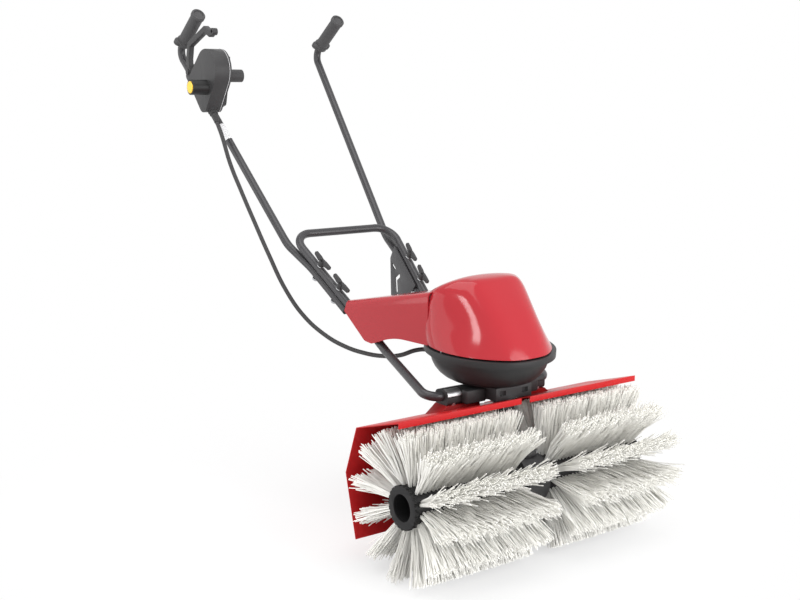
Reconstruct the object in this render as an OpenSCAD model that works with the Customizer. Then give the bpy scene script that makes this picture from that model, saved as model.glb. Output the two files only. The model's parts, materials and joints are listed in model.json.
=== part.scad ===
// Electric power brush sweeper. A motor on a cross beam turns a two-part roller brush
// through a spur pair and a worm in the leg that stands between the brush halves.
// Front is -Y, the operator stands at +Y and +X is the machine's left. Millimetres.

/* [Brush] */
// Diameter over the bristle tips
brush_d = 330; // [300:5:360]
// Length of the roller over its two end rings
brush_len = 640; // [560:10:720]
// Outside diameter of the core tube
core_d = 89; // [84:1:96]
// Bore of the core tube
core_bore_d = 57; // [50:1:60]
// Rows of bristle strips round the core
strip_rows = 12; // [10:1:14]
// Turn of the first strip from straight down, in degrees
strip_turn = 6; // [0:1:12]
// Tufts along one strip
strip_tufts = 17; // [14:1:20]
// Width of a bristle strip
strip_w = 7; // [5:0.5:9]
// Depth of a strip in the core
strip_depth = 7; // [5:0.5:8]
// Width of a tuft at its root, along the roller
tuft_root_w = 4.4; // [3:0.2:6]
// Width of a tuft at its tip
tuft_tip_w = 2.6; // [2:0.2:4]
// Sideways lean of the tufts in a row, in degrees
tuft_lean = 9; // [4:1:12]
// Outward spread of the last tuft's tip
tuft_spread = 12; // [0:1:14]
// Depth worn flat where the bristles stand on the floor
tread_flat = 0.5; // [0.2:0.1:1]
// Thickness of an end ring
end_ring_t = 8; // [5:1:12]
// Lobes round an end ring
end_ring_lobes = 24; // [18:1:30]
// Diameter of the brush axle
axle_d = 20; // [18:1:22]
// Length of a drive hub inside the core
hub_len = 76; // [60:2:100]

/* [Gears] */
// Teeth on the worm wheel
wheel_teeth = 20; // [18:1:22]
// Module of the worm wheel
wheel_size = 4.5; // [4:0.1:5]
// Width of the worm wheel
wheel_w = 22; // [18:1:24]
// Pitch diameter of the worm
worm_pitch_d = 38; // [36:1:42]
// Length of the worm thread
worm_len = 50; // [44:1:54]
// Teeth on each spur gear, an odd number
spur_teeth = 21; // [19:2:23]
// Module of the spur gears
spur_size = 2; // [1.8:0.1:2.2]
// Width of the spur gears
spur_w = 10; // [8:0.5:11]
// Diameter of the motor and worm shafts
shaft_d = 16; // [14:1:18]
// Half the width of the gear case across the machine
case_half = 30; // [28:1:34]
// Wall of the gear case
case_wall = 6; // [5:0.5:8]
// Diameter of the leg above the worm
leg_d = 48; // [44:1:52]

/* [Beam] */
// Height of the beam's middle above the brush tips' circle
beam_rise = 15; // [12:1:24]
// Length of the cross beam
beam_len = 278; // [260:2:300]
// Height of the beam with its caps
beam_h = 36; // [34:1:42]
// Depth of the beam, front to rear
beam_depth = 44; // [42:1:52]
// Thickness of the plate under the gears
head_t = 5; // [4:0.5:7]

/* [Frame] */
// Outside diameter of the frame and handle tubes
tube_d = 20; // [18:0.5:22]
// Wall of the tubes
tube_wall = 2; // [1.5:0.5:3]
// Half width over the two strut feet
foot_out = 176; // [168:1:186]
// Half width at the lower knee
knee_out = 116; // [112:1:118]
// Distance of the lower knee behind the beam
knee_back = 239; // [225:1:250]
// Height of the lower knee above the beam
knee_up = 51; // [40:1:60]
// Half width at the upper knee
thigh_out = 106; // [100:1:107]
// Distance of the upper knee behind the beam
thigh_back = 334; // [325:1:345]
// Height of the upper knee above the beam
thigh_up = 94; // [88:1:96]
// Half width at the cross bar's corners
bail_out = 151; // [146:1:156]
// Distance of the cross bar behind the beam
bail_back = 599; // [580:1:620]
// Height of the cross bar above the beam
bail_up = 288; // [280:1:292]

/* [Handles] */
// Half width at the top corner of the handles
grip_out = 217; // [205:1:230]
// Distance of the top corner behind the beam
top_back = 1077; // [1040:1:1110]
// Height of the top corner above the beam
top_up = 748; // [720:1:780]
// Rise of the grips above level, in degrees
grip_rise = 35.4; // [25:0.5:45]
// Diameter of a grip
grip_d = 36; // [32:1:40]
// Length of a grip
grip_len = 122; // [105:1:135]
// Place of the lower handle bolt along the leg, from the upper knee
bolt_low = 122; // [116:1:130]
// Place of the upper handle bolt along the leg
bolt_high = 204; // [195:1:215]
// Span of a wing knob
knob_span = 62; // [50:1:66]

/* [Motor] */
// Diameter of the stator
stator_d = 120; // [110:1:124]
// Height of the stator
stator_h = 76; // [70:1:80]
// Diameter of the rotor core
rotor_d = 70; // [60:1:72]
// Diameter of the cooling fan
fan_d = 84; // [70:1:88]

/* [Cover] */
// Diameter of the bowl's rim band
rim_d = 290; // [280:1:300]
// Height of the bowl with its rim band
bowl_h = 76; // [70:1:82]
// Height of the rim band
rim_h = 14; // [10:1:18]
// Diameter of the bowl's foot
foot_d = 132; // [124:1:140]
// Wall of the bowl
bowl_wall = 4; // [3:0.5:5]
// Height of the hood above the bowl
hood_h = 152; // [145:1:165]
// Wall of the hood
hood_wall = 3; // [2.5:0.5:4]
// Distance of the bowl's middle behind the motor's axis
cover_back = 12; // [8:1:16]
// Forward tilt of the bowl and the hood, in degrees
hood_tilt = 4; // [0:0.5:5]
// Half width of the hood's tail
tail_out = 130; // [129:1:134]
// Distance of the tail's tip behind the beam
tail_back = 386; // [376:1:392]

/* [Guard] */
// Half length of the guard
guard_out = 333; // [320:1:350]
// Thickness of the guard's sheet
guard_t = 2; // [1.5:0.5:3]
// Half width of the gap at the guard's middle
guard_gap = 12; // [8:1:20]
// Height of the guard's front lip
lip_h = 13; // [9:1:18]

/* [Switch] */
// Depth of the switch box across the machine
box_depth = 46; // [40:1:52]
// Wall of the switch box
box_wall = 3.5; // [3:0.5:4.5]
// Diameter of the lock button
button_d = 30; // [24:1:32]
// Travel of the lock button
button_travel = 5; // [3:0.5:7]
// Outside diameter of the mains inlet
inlet_d = 32; // [28:1:36]
// Width of the switch lever
lever_w = 15; // [12:1:18]
// Diameter of the motor cable
cable_d = 10.5; // [9:0.5:12]

/* [Hidden] */
$fn = 48;
overrun = 1;
// Step of clearance between neighbouring pieces
room = 1;
// Running, snug and open fits
slip = 0.05;
snug = 0.02;
open_fit = 0.3;

// Shares of an involute tooth
pressure = 20;
root_share = 1.25;
wheel_tooth_share = 0.41;
worm_thread_share = 0.36;
spur_tooth_share = 0.476;

brush_r = brush_d / 2;
core_r = core_d / 2;
core_bore_r = core_bore_d / 2;
axle_r = axle_d / 2;
tube_r = tube_d / 2;
shaft_r = shaft_d / 2;
cable_r = cable_d / 2;
leg_r = leg_d / 2;

// Brush places along the axle
hub_in = case_half + 2 * room;
flange_t = 6;
core_in = hub_in + flange_t;
core_out = brush_len / 2 - end_ring_t;
groove_w = strip_w + 4 * slip;
tuft_edge = 8;
tuft_pitch = (core_out - core_in - 2 * tuft_edge) / (strip_tufts - 1);
pin_r = 3;
axle_out = core_in + hub_len;

// Gear places
wheel_pitch_r = wheel_teeth * wheel_size / 2;
wheel_tip_r = wheel_pitch_r + wheel_size;
worm_pitch_r = worm_pitch_d / 2;
worm_tip_r = worm_pitch_r + wheel_size;
worm_root_r = worm_pitch_r - root_share * wheel_size;
worm_lead = PI * wheel_size;
worm_y = wheel_pitch_r + worm_pitch_r;
worm_half = worm_len / 2;
spur_tip_r = (spur_teeth / 2 + 1) * spur_size;
motor_y = worm_y + spur_teeth * spur_size;
wheel_twist = worm_lead / (2 * PI * worm_pitch_r) * wheel_w / wheel_pitch_r * 180 / PI;
boss_proud = 3;
boss_wall = 7;
boss_out = wheel_w / 2 + boss_proud;
boss_r = axle_r + boss_wall;
bearing_w = 10;
axle_bearing_depth = 11;
shaft_bearing_depth = 8;
axle_bearing_r = axle_r + axle_bearing_depth;
shaft_bearing_r = shaft_r + shaft_bearing_depth;

// Beam places, from the axle
beam_z = brush_r + beam_rise;
beam_top = beam_h / 2;
flange_top = beam_z - head_t;
flange_h = 7;
flange_half = 46;
gear_wall = 6.5;
gear_reach = spur_tip_r + gear_wall;
cavity_h = spur_w + 3 * room;
cap_in = flange_half + 2 * room;
tube_end = cap_in + 4 * room;
clamp_gap = 0.6;
bolt_r = 3;
bolt_head_r = 5.5;
bolt_head_h = 5;
cap_bolt_out = [66, 120];
cap_bolt_side = tube_r + bolt_r + 3 * room;
flange_bolt_in = 8;
flange_bolt_back = [-8, 12];
handle_bolt_r = bolt_r + room;

// Frame corners, from the middle of the beam
foot_pt = [foot_out, 0, 0];
knee_pt = [knee_out, knee_back, knee_up];
thigh_pt = [thigh_out, thigh_back, thigh_up];
bail_pt = [bail_out, bail_back, bail_up];
foot_bend = 28;
knee_bend = 100;
bail_bend = 45;
// Swell of the tube's wall in a bend
bend_swell = 0.2;

// Handle line, from the middle of the beam
leg_dir = (bail_pt - thigh_pt) / norm(bail_pt - thigh_pt);
drop_dir = [0, leg_dir[2], -leg_dir[1]] / norm([0, leg_dir[2], -leg_dir[1]]);
tube_gap = 0.4;
handle_drop = tube_d + tube_gap;
handle_start = 75;
low_pt = thigh_pt + leg_dir * handle_start + drop_dir * handle_drop;
handle_turn = 228;
mid_gap = 14;
turn_pt = thigh_pt + leg_dir * handle_turn + drop_dir * handle_drop;
mid_pt = bail_pt + drop_dir * (handle_drop + mid_gap);
top_pt = [grip_out, top_back, top_up];
grip_dir = [0, -cos(grip_rise), sin(grip_rise)];
grip_start = 37;
end_pt = top_pt + grip_dir * (grip_start + grip_len - tube_r);
mid_bend = 120;
top_bend = 30;
rise_dir = (top_pt - mid_pt) / norm(top_pt - mid_pt);
top_turn = acos(rise_dir * grip_dir);
top_set = top_bend * tan(top_turn / 2);
top_in = (grip_dir - rise_dir * (rise_dir * grip_dir)) / norm(grip_dir - rise_dir * (rise_dir * grip_dir));
top_normal = cross(rise_dir, top_in);
top_centre = top_pt - rise_dir * top_set + top_in * top_bend;

// Reach of the part before and behind the axle
front_reach = max([
    for (i = [0 : strip_rows - 1]) for (j = [0 : strip_tufts - 1]) for (c = [0 : 3])
        -tip_point(i, j, c)[1]
]);
rear_reach = motor_y + top_centre[1] + top_bend * sqrt(1 - pow(top_normal[1], 2)) + tube_r + bend_swell;
axle_y = (front_reach - rear_reach) / 2;
axle_z = brush_r - tread_flat;

// Motor places above the beam's middle
rim_r = rim_d / 2;
pad_h = 15;
pad_r = 50;
motor_foot = beam_top + pad_h;
bell_foot_h = 8;
bell_neck_h = 9;
bell_h = 10;
bell_low = motor_foot + bell_foot_h + bell_neck_h;
stator_low = bell_low + bell_h;
stator_top = stator_low + stator_h;
fan_h = 12;
fan_low = stator_top + bell_h + 4 * room;
shaft_top = fan_low + fan_h + 2 * room;
motor_bolt_x = 31;
motor_bolt_y = 14;

// Hood rings: height above the bowl, half width, place of the middle, front and rear reach
hood_rise_shares = [0, 0.21, 0.43, 0.62, 0.80, 0.91, 0.97, 1];
hood_side_shares = [0.993, 0.965, 0.925, 0.885, 0.76, 0.58, 0.45, 0.28];
hood_back_shares = [0, 0.13, 0.30, 0.43, 0.42, 0.30, 0.15, 0.13];
hood_front_shares = [0.993, 0.86, 0.73, 0.62, 0.46, 0.34, 0.24, 0.12];
hood_rear_shares = [0.993, 0.85, 0.67, 0.53, 0.16, 0.12, 0.18, 0.12];
hood_sides = 40;
hood_square = 2.3;
hood_boss_r = 7.5;
hood_boss_h = 20;
hood_boss_in = 7;
hood_boss_at = rim_r - hood_wall - hood_boss_in;
hood_boss_turns = [0, 90, 180];

// Tail outline behind the beam
tail_start = 62;
tail_top_up = 215.5;
tail_tip_up = 150;
tail_end_step = 7;
tail_end_drop = 26;
tail_low_step = 79;
tail_low_drop = 84;
tail_heel_step = 108;
tail_heel_drop = 86;
tail_arch_step = 196;
tail_arch_drop = 56;
tail_rounds = [0, 280, 12, 16, 6, 8, 0];

// Guard corners: clearance over the bristles and direction from the axle
guard_lip_y = -8;
tip_room = 2.5;
guard_low_z = brush_r + tip_room;
guard_room = [32, 22, 21];
guard_turn = [43.3, 8.3, -36.7];
guard_path = concat(
    [[guard_lip_y, guard_low_z], [guard_lip_y, guard_low_z + lip_h]],
    [for (i = [0 : 2]) (brush_r + guard_room[i]) * [cos(guard_turn[i]), sin(guard_turn[i])]]
);
guard_slope = (guard_path[2] - guard_path[1]) / norm(guard_path[2] - guard_path[1]);
guard_screw_out = [58, 93];
bracket_in = 50;

// Switch box places, from the top corner of the handle
box_top_at = [-258, -56];
box_rear_at = [-183, -78];
box_low_at = [-238, -138];
box_top_r = 55;
box_corner_r = 22;
box_set = 3;
box_in = grip_out + box_set;
box_plate = 5;
seam_t = 1;
seam_lip = 0.8;
box_out = box_in + box_depth;
box_mid = (box_in + box_plate + box_out) / 2;
button_at = [-263, -97];
barrel_wall = 4;
barrel_r = button_d / 2 + barrel_wall;
barrel_len = 46;
button_proud = 2;
inlet_at = [-283, -68];
inlet_len = 42;
inlet_wall = 3;
inlet_floor = 8;
inlet_mouth = 10;
inlet_mouth_wall = 2;
inlet_pin_r = 2;
saddle_depth = 34;
pivot_at = [-93, -56];
lever_pin_r = 4;
lever_t = 14;
lever_in = box_in + 2 * room;
hook_at = [-266, -34];
hook_r = 3;
hook_len = 20;
gland_dir = [0, -0.6, -0.8];

// Cable glands and the route of the motor cable, from the middle of the brush
gland_r = 11;
gland_nut_h = 8;
gland_taper = 24;
gland_tip_r = 6.5;
box_gland_at = 26;
motor_gland_x = -40;
motor_gland_back = 130;
motor_gland_up = 38;
cable_route = [
    [-245.5, 909.8, 743.2], [-245, 886, 711], [-238, 857, 640], [-226, 822, 570], [-214, 783, 500],
    [-200, 735, 418], [-183, 684, 335], [-160, 640, 275], [-135, 583, 233], [-112, 525, 210],
    [-92, 470, 201], [-76, 420, 201], [-62, 365, 211], [-48, 322, 229], [-40.5, 292, 235.5],
    [-40, 268.4, 236]
];
cable_sides = 8;
cable_steps = 2;

// Pieces and their colours
red = "#b8232f";
dark_red = "#7d1720";
black = "#26272a";
charcoal = "#3a3b3f";
steel = "#9a9da3";
zinc = "#c9cbcf";
cream = "#ece7d8";
yellow = "#e8c51f";
copper = "#8a6a4f";

// Vectors and outlines
function unit(v) = v / norm(v);
function across(p) = [-p[0], p[1], p[2]];
function polar(r, a) = [r * cos(a), r * sin(a)];
function turn_at(p, i) = acos(unit(p[i] - p[i - 1]) * unit(p[i + 1] - p[i]));
function setback(p, r, i) =
    (i == 0 || i == len(p) - 1) ? 0 : r[i] * tan(turn_at(p, i) / 2);
function corner_arc(a, b, c, r, n) =
    let (u = unit(a - b), v = unit(c - b), half = acos(u * v) / 2, sweep = 180 - 2 * half)
    r == 0 ? [b] :
    let (mid = b + unit(u + v) * (r / sin(half)), s = b + u * (r / tan(half)) - mid,
         e = b + v * (r / tan(half)) - mid)
    [for (k = [0 : n]) mid + (s * sin((1 - k / n) * sweep) + e * sin(k / n * sweep)) / sin(sweep)];
function rounded(p, r, n = 6) =
    [for (i = [0 : len(p) - 1])
        each corner_arc(p[(i + len(p) - 1) % len(p)], p[i], p[(i + 1) % len(p)], r[i], n)];
function left_of(v) = [-v[1], v[0]];
function side_step(p, i) =
    let (a = i == 0 ? p[1] - p[0] : p[i] - p[i - 1],
         b = i == len(p) - 1 ? p[i] - p[i - 1] : p[i + 1] - p[i],
         m = unit(left_of(unit(a)) + left_of(unit(b))))
    m / (m * left_of(unit(b)));
function band(p, above, below) = concat(
    [for (i = [0 : len(p) - 1]) p[i] + above * side_step(p, i)],
    [for (i = [len(p) - 1 : -1 : 0]) p[i] - below * side_step(p, i)]
);

// Teeth
function inv_turn(a) = tan(a) * 180 / PI - a;
function tooth_half(teeth, size, share, r) =
    let (base = teeth * size / 2 * cos(pressure))
    180 / teeth * share + inv_turn(pressure) - (r > base ? inv_turn(acos(base / r)) : 0);
function gear_points(teeth, size, share) =
    let (pitch_r = teeth * size / 2, root_r = pitch_r - root_share * size,
         base_r = max(root_r, pitch_r * cos(pressure)), tip_r = pitch_r + size,
         radii = concat([root_r], [for (k = [0 : 3]) base_r + (tip_r - base_r) * k / 3]))
    [for (i = [0 : teeth - 1]) each concat(
        [for (r = radii) polar(r, 360 * i / teeth - tooth_half(teeth, size, share, r))],
        [for (k = [len(radii) - 1 : -1 : 0])
            polar(radii[k], 360 * i / teeth + tooth_half(teeth, size, share, radii[k]))]
    )];

// Bristle tufts
function row_turn(i) = 270 + strip_turn + 360 * i / strip_rows;
function tuft_x(j) = core_in + tuft_edge + j * tuft_pitch;
function tip_turn(i, j) = row_turn(i) + tuft_lean * (j % 3 - 1);
function tip_point(i, j, c) =
    let (a = tip_turn(i, j), side = (c < 2 ? -1 : 1) * tuft_tip_w / 2,
         end = (c == 0 || c == 3 ? -1 : 1) * tuft_tip_w / 2,
         z = brush_r * sin(a) - side * cos(a))
    [tuft_x(j) + tuft_spread * pow(j / (strip_tufts - 1), 3) + end,
     brush_r * cos(a) + side * sin(a), max(z, tread_flat - brush_r)];
function strip_point(i, x, side, r) =
    let (a = row_turn(i))
    [x, r * cos(a) + side * sin(a), r * sin(a) - side * cos(a)];
function station_x(k) =
    k == 0 ? core_in : k == 2 * strip_tufts + 1 ? core_out
    : tuft_x(floor((k - 1) / 2)) + (k % 2 == 1 ? -1 : 1) * tuft_root_w / 2;
stations = 2 * strip_tufts + 2;
strip_size = 4 + 2 * stations + 4 * strip_tufts;
function strip_points(i) = concat(
    [for (x = [core_in, core_out]) for (s = [-1, 1])
        strip_point(i, x, s * strip_w / 2, core_r - strip_depth)],
    [for (k = [0 : stations - 1]) for (s = [-1, 1])
        strip_point(i, station_x(k), s * strip_w / 2, core_r)],
    [for (j = [0 : strip_tufts - 1]) for (c = [0 : 3]) tip_point(i, j, c)]
);
function low_a(k) = 4 + 2 * k;
function low_b(k) = 5 + 2 * k;
function tip_id(j, c) = 4 + 2 * stations + 4 * j + c;
function quad(a, b, c, d) = [[a, b, c], [a, c, d]];
function tuft_faces(j) =
    let (a = low_a(2 * j + 1), b = low_a(2 * j + 2), c = low_b(2 * j + 2), d = low_b(2 * j + 1))
    concat(
        quad(a, b, tip_id(j, 1), tip_id(j, 0)), quad(b, c, tip_id(j, 2), tip_id(j, 1)),
        quad(c, d, tip_id(j, 3), tip_id(j, 2)), quad(d, a, tip_id(j, 0), tip_id(j, 3)),
        quad(tip_id(j, 0), tip_id(j, 1), tip_id(j, 2), tip_id(j, 3))
    );
function strip_faces() =
    let (last = stations - 1)
    concat(
        quad(0, 1, 3, 2),
        [[0, 2, low_a(last)]], [for (k = [last : -1 : 1]) [0, low_a(k), low_a(k - 1)]],
        [for (k = [0 : last - 1]) [1, low_b(k), low_b(k + 1)]], [[1, low_b(last), 3]],
        quad(0, low_a(0), low_b(0), 1), quad(2, 3, low_b(last), low_a(last)),
        [for (k = [0 : 2 : last]) each quad(low_a(k), low_a(k + 1), low_b(k + 1), low_b(k))],
        [for (j = [0 : strip_tufts - 1]) each tuft_faces(j)]
    );

// Tube swept along a route
function blend(p, i, t) =
    let (a = p[max(i - 1, 0)], b = p[i], c = p[i + 1], d = p[min(i + 2, len(p) - 1)])
    (2 * b + (c - a) * t + (2 * a - 5 * b + 4 * c - d) * t * t
     + (3 * b - a - 3 * c + d) * t * t * t) / 2;
function route_points(p, n) = concat(
    [for (i = [0 : len(p) - 2]) for (k = [0 : n - 1]) blend(p, i, k / n)], [p[len(p) - 1]]
);
function heading(p, i) = unit(p[min(i + 1, len(p) - 1)] - p[max(i - 1, 0)]);
function ring_point(p, i, r, a) =
    let (d = heading(p, i), u = unit(cross(d, [1, 0, 0])), v = cross(d, u))
    p[i] + r * (cos(a) * u + sin(a) * v);

module axle_frame() translate([0, axle_y, axle_z]) children();
module beam_frame() translate([0, axle_y + motor_y, axle_z + beam_z]) children();
module right_side() mirror([1, 0, 0]) children();
module both_sides() {
    children();
    right_side() children();
}
module lateral(a, b) translate([a, 0, 0]) rotate([90, 0, 90]) linear_extrude(height = b - a) children();
module rod(a, b, r) {
    d = b - a;
    translate(a) rotate([0, acos(d[2] / norm(d)), atan2(d[1], d[0])]) cylinder(r = r, h = norm(d));
}
module spread(a, b, r, s) {
    d = b - a;
    translate(a) rotate([0, acos(d[2] / norm(d)), atan2(d[1], d[0])])
        cylinder(r1 = r, r2 = s, h = norm(d));
}
module upright(low, high, r) translate([0, 0, low]) cylinder(r = r, h = high - low);
module pipe_ring(r, wall) difference() {
    circle(r = r);
    circle(r = r - wall);
}
module bent_pipe(p, r) {
    for (i = [0 : len(p) - 2]) {
        u = unit(p[i + 1] - p[i]);
        a = p[i] + u * setback(p, r, i);
        b = p[i + 1] - u * setback(p, r, i + 1);
        translate(a - u * (i == 0 ? 0 : overrun)) rotate([0, acos(u[2]), atan2(u[1], u[0])])
            linear_extrude(height = norm(b - a) + (i == 0 ? 0 : overrun) + (i == len(p) - 2 ? 0 : overrun))
                pipe_ring(tube_r, tube_wall);
    }
    for (i = [1 : len(p) - 2]) {
        u = unit(p[i] - p[i - 1]);
        v = unit(p[i + 1] - p[i]);
        w = unit(v - u * (u * v));
        n = cross(u, w);
        c = p[i] - u * setback(p, r, i) + w * r[i];
        multmatrix([
            [-w[0], u[0], n[0], c[0]], [-w[1], u[1], n[1], c[1]], [-w[2], u[2], n[2], c[2]], [0, 0, 0, 1]
        ]) rotate_extrude(angle = turn_at(p, i)) translate([r[i], 0])
            pipe_ring(tube_r + bend_swell, tube_wall + 2 * bend_swell);
    }
}

// Frame
function leg_at(d) = thigh_pt + leg_dir * d;
module handle_holes() for (d = [bolt_low, bolt_high])
    rod(leg_at(d) - drop_dir * tube_d, leg_at(d) + drop_dir * (tube_d + handle_drop),
        handle_bolt_r + open_fit);
module main_frame() color(black) beam_frame() difference() {
    bent_pipe(
        [[tube_end, 0, 0], foot_pt, knee_pt, thigh_pt, bail_pt, across(bail_pt), across(thigh_pt),
         across(knee_pt), across(foot_pt), [-tube_end, 0, 0]],
        [0, foot_bend, knee_bend, knee_bend, bail_bend, bail_bend, knee_bend, knee_bend, foot_bend, 0]
    );
    both_sides() handle_holes();
}

// Beam and gear head
beam_round = 12;
sleeve_top = 14;
cap_round = 8;
apron_t = 4;
apron_h = 10;
module beam_upper() polygon(rounded(
    [[-beam_depth / 2, 0], [beam_depth / 2, 0], [beam_depth / 2, sleeve_top], [-beam_depth / 2, sleeve_top]],
    [0, 0, beam_round, beam_round]
));
module beam_lower() polygon(rounded(
    [[-beam_depth / 2, -beam_top], [beam_depth / 2, -beam_top], [beam_depth / 2, -clamp_gap],
     [-beam_depth / 2, -clamp_gap]],
    [cap_round, cap_round, 0, 0]
));
recess_r = 9;
recess_out = [31, 92];
gear_back = worm_y - motor_y;
apron_out = flange_half + apron_t;
apron_front = gear_back - gear_reach - apron_t;
module tube_bores() both_sides() lateral(tube_end - overrun, beam_len / 2 + overrun)
    circle(r = tube_r + slip);
module cap_bolt_holes(r, low, high) both_sides() for (x = cap_bolt_out) for (y = [-1, 1])
    translate([x, y * cap_bolt_side, 0]) upright(low, high, r);
module flange_bolt_holes(r, low, high) both_sides() for (y = flange_bolt_back)
    translate([flange_half - flange_bolt_in, gear_back + y, 0]) upright(low, high, r);
module motor_bolt_holes(r, low, high) both_sides() for (y = [-1, 1])
    translate([motor_bolt_x, y * motor_bolt_y, 0]) upright(low, high, r);
module cross_beam() color(black) beam_frame() difference() {
    union() {
        lateral(-beam_len / 2, beam_len / 2) beam_upper();
        translate([-apron_out, apron_front, 0]) cube([2 * apron_out, beam_depth / 2 - apron_front, beam_top]);
        translate([-apron_out, apron_front, -apron_h])
            cube([2 * apron_out, apron_t - open_fit, apron_h + room]);
        both_sides() translate([flange_half + open_fit, apron_front, -apron_h])
            cube([apron_t - open_fit, -apron_front - beam_depth / 2 - clamp_gap, apron_h + room]);
    }
    tube_bores();
    for (y = [0, gear_back]) translate([0, y, 0]) upright(-overrun, cavity_h, spur_tip_r + 1.5 * room);
    upright(0, beam_top + overrun, shaft_r + 1.5 * room);
    cap_bolt_holes(bolt_r + snug, -overrun, beam_top / 2);
    flange_bolt_holes(bolt_r + snug, -overrun, beam_top * 0.7);
    motor_bolt_holes(bolt_r + snug, beam_top * 0.2, beam_top + overrun);
    both_sides() translate([recess_out[1], -beam_depth / 2 - recess_r / 3, 0])
        upright(-overrun, beam_top * 0.6, recess_r);
    both_sides() translate([recess_out[0], apron_front - recess_r / 3, 0])
        upright(0, beam_top * 0.6, recess_r);
}
module tube_caps() color(black) beam_frame() both_sides() difference() {
    lateral(cap_in, beam_len / 2) beam_lower();
    lateral(cap_in - overrun, beam_len / 2 + overrun) circle(r = tube_r + slip);
    for (x = cap_bolt_out) for (y = [-1, 1]) translate([x, y * cap_bolt_side, 0]) {
        upright(-beam_top - overrun, 0, bolt_r + open_fit);
        upright(-beam_top - overrun, bolt_head_h - beam_top, bolt_head_r + open_fit);
    }
    guard_screw_holes(bolt_r + snug);
}
module cap_bolts() color(steel) beam_frame() {
    cap_bolt_holes(bolt_r, bolt_head_h - beam_top, beam_top / 2 - room);
    cap_bolt_holes(bolt_head_r, -beam_top, bolt_head_h - beam_top);
}
module head_plate() color(black) beam_frame() difference() {
    translate([-flange_half, gear_back - gear_reach, -head_t])
        cube([2 * flange_half, gear_reach - gear_back + beam_depth / 2 - room, head_t]);
    translate([0, gear_back, 0]) upright(-head_t - overrun, overrun, shaft_r + room);
    flange_bolt_holes(bolt_r + open_fit, -head_t - overrun, overrun);
}
module flange_bolts() color(steel) beam_frame() {
    flange_bolt_holes(bolt_r, -head_t - flange_h, beam_top * 0.7 - room);
    flange_bolt_holes(bolt_head_r, -head_t - flange_h - bolt_head_h * 0.6, -head_t - flange_h);
}

// Cover
module bowl_outside() rotate_extrude() polygon(concat(
    [[0, -rim_h], [foot_d / 2, -rim_h]],
    [for (k = [0 : 8])
        [foot_d / 2 + (rim_r - rim_h - foot_d / 2) * sin(90 * k / 8),
         (bowl_h - rim_h) * (1 - cos(90 * k / 8))]],
    [[rim_r, bowl_h - rim_h], [rim_r, bowl_h], [0, bowl_h]]
));
module bowl_inside() rotate_extrude() polygon(concat(
    [[0, 2 * bowl_wall]],
    [for (k = [0 : 8])
        [foot_d / 2 - bowl_wall + (rim_r - rim_h - foot_d / 2) * sin(90 * k / 8),
         2 * bowl_wall + (bowl_h - rim_h - 2 * bowl_wall) * (1 - cos(90 * k / 8))]],
    [[rim_r - rim_h - bowl_wall, bowl_h + overrun], [0, bowl_h + overrun]]
));
module cover_frame() translate([0, cover_back, beam_top]) rotate([hood_tilt, 0, 0]) children();
module hood_screw_places() for (a = hood_boss_turns) rotate([0, 0, a])
    translate([hood_boss_at, 0, 0]) children();
hood_screw_r = 2.5;
hood_screw_head_r = 3.8;
gland_boss_r = gland_r + 2 * room;
gland_shank_r = 7;
module motor_base() color(black) beam_frame() difference() {
    union() {
        difference() {
            union() {
                cover_frame() bowl_outside();
                rod([motor_gland_x, pad_r, beam_top + motor_gland_up],
                    [motor_gland_x, motor_gland_back, beam_top + motor_gland_up], gland_boss_r);
            }
            cover_frame() bowl_inside();
            translate([-rim_r, -rim_r, beam_top - rim_d]) cube([rim_d, rim_d, rim_d]);
            cover_frame() hood_screw_places()
                upright(bowl_h - 2 * rim_h, bowl_h + overrun, hood_screw_r + open_fit);
        }
        upright(beam_top, motor_foot, pad_r);
    }
    upright(beam_top - overrun, motor_foot + overrun, shaft_r + 1.5 * room);
    motor_bolt_holes(bolt_r + snug, beam_top - overrun, motor_foot + overrun);
    rod([motor_gland_x, pad_r, beam_top + motor_gland_up],
        [motor_gland_x, motor_gland_back + overrun, beam_top + motor_gland_up], gland_shank_r + snug);
}
function hood_ring(k, inset) =
    let (rise = bowl_h + hood_h * hood_rise_shares[k], side = rim_r * hood_side_shares[k] - inset,
         front = rim_r * hood_front_shares[k] - inset, rear = rim_r * hood_rear_shares[k] - inset,
         back = rim_r * hood_back_shares[k],
         z = inset == 0 ? rise : k == 0 ? rise - overrun
             : k == len(hood_rise_shares) - 1 ? rise - inset : rise - inset * hood_rise_shares[k])
    [for (i = [0 : hood_sides - 1])
        let (c = cos(360 * i / hood_sides), s = sin(360 * i / hood_sides), e = 2 / hood_square)
        [side * sign(c) * pow(abs(c), e), back + (s < 0 ? front : rear) * sign(s) * pow(abs(s), e), z]];
module hood_loft(inset) {
    rings = len(hood_rise_shares);
    points = [for (k = [0 : rings - 1]) each hood_ring(k, inset)];
    polyhedron(points, concat(
        [[for (i = [0 : hood_sides - 1]) i]],
        [for (k = [0 : rings - 2]) for (i = [0 : hood_sides - 1])
            let (n = (i + 1) % hood_sides, a = k * hood_sides, b = a + hood_sides)
            each [[a + i, b + i, b + n], [a + i, b + n, a + n]]],
        [[for (i = [hood_sides - 1 : -1 : 0]) (rings - 1) * hood_sides + i]]
    ));
}
module tail_outline() polygon(rounded(
    [[tail_start, tail_tip_up - tail_arch_drop],
     [tail_back - tail_arch_step, tail_tip_up - tail_arch_drop],
     [tail_back - tail_heel_step, tail_tip_up - tail_heel_drop],
     [tail_back - tail_low_step, tail_tip_up - tail_low_drop],
     [tail_back + tail_end_step, tail_tip_up - tail_end_drop], [tail_back, tail_tip_up],
     [tail_start, tail_top_up]],
    tail_rounds
));
tail_fall = (tail_top_up - tail_tip_up) / (tail_back - tail_start);
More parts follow.
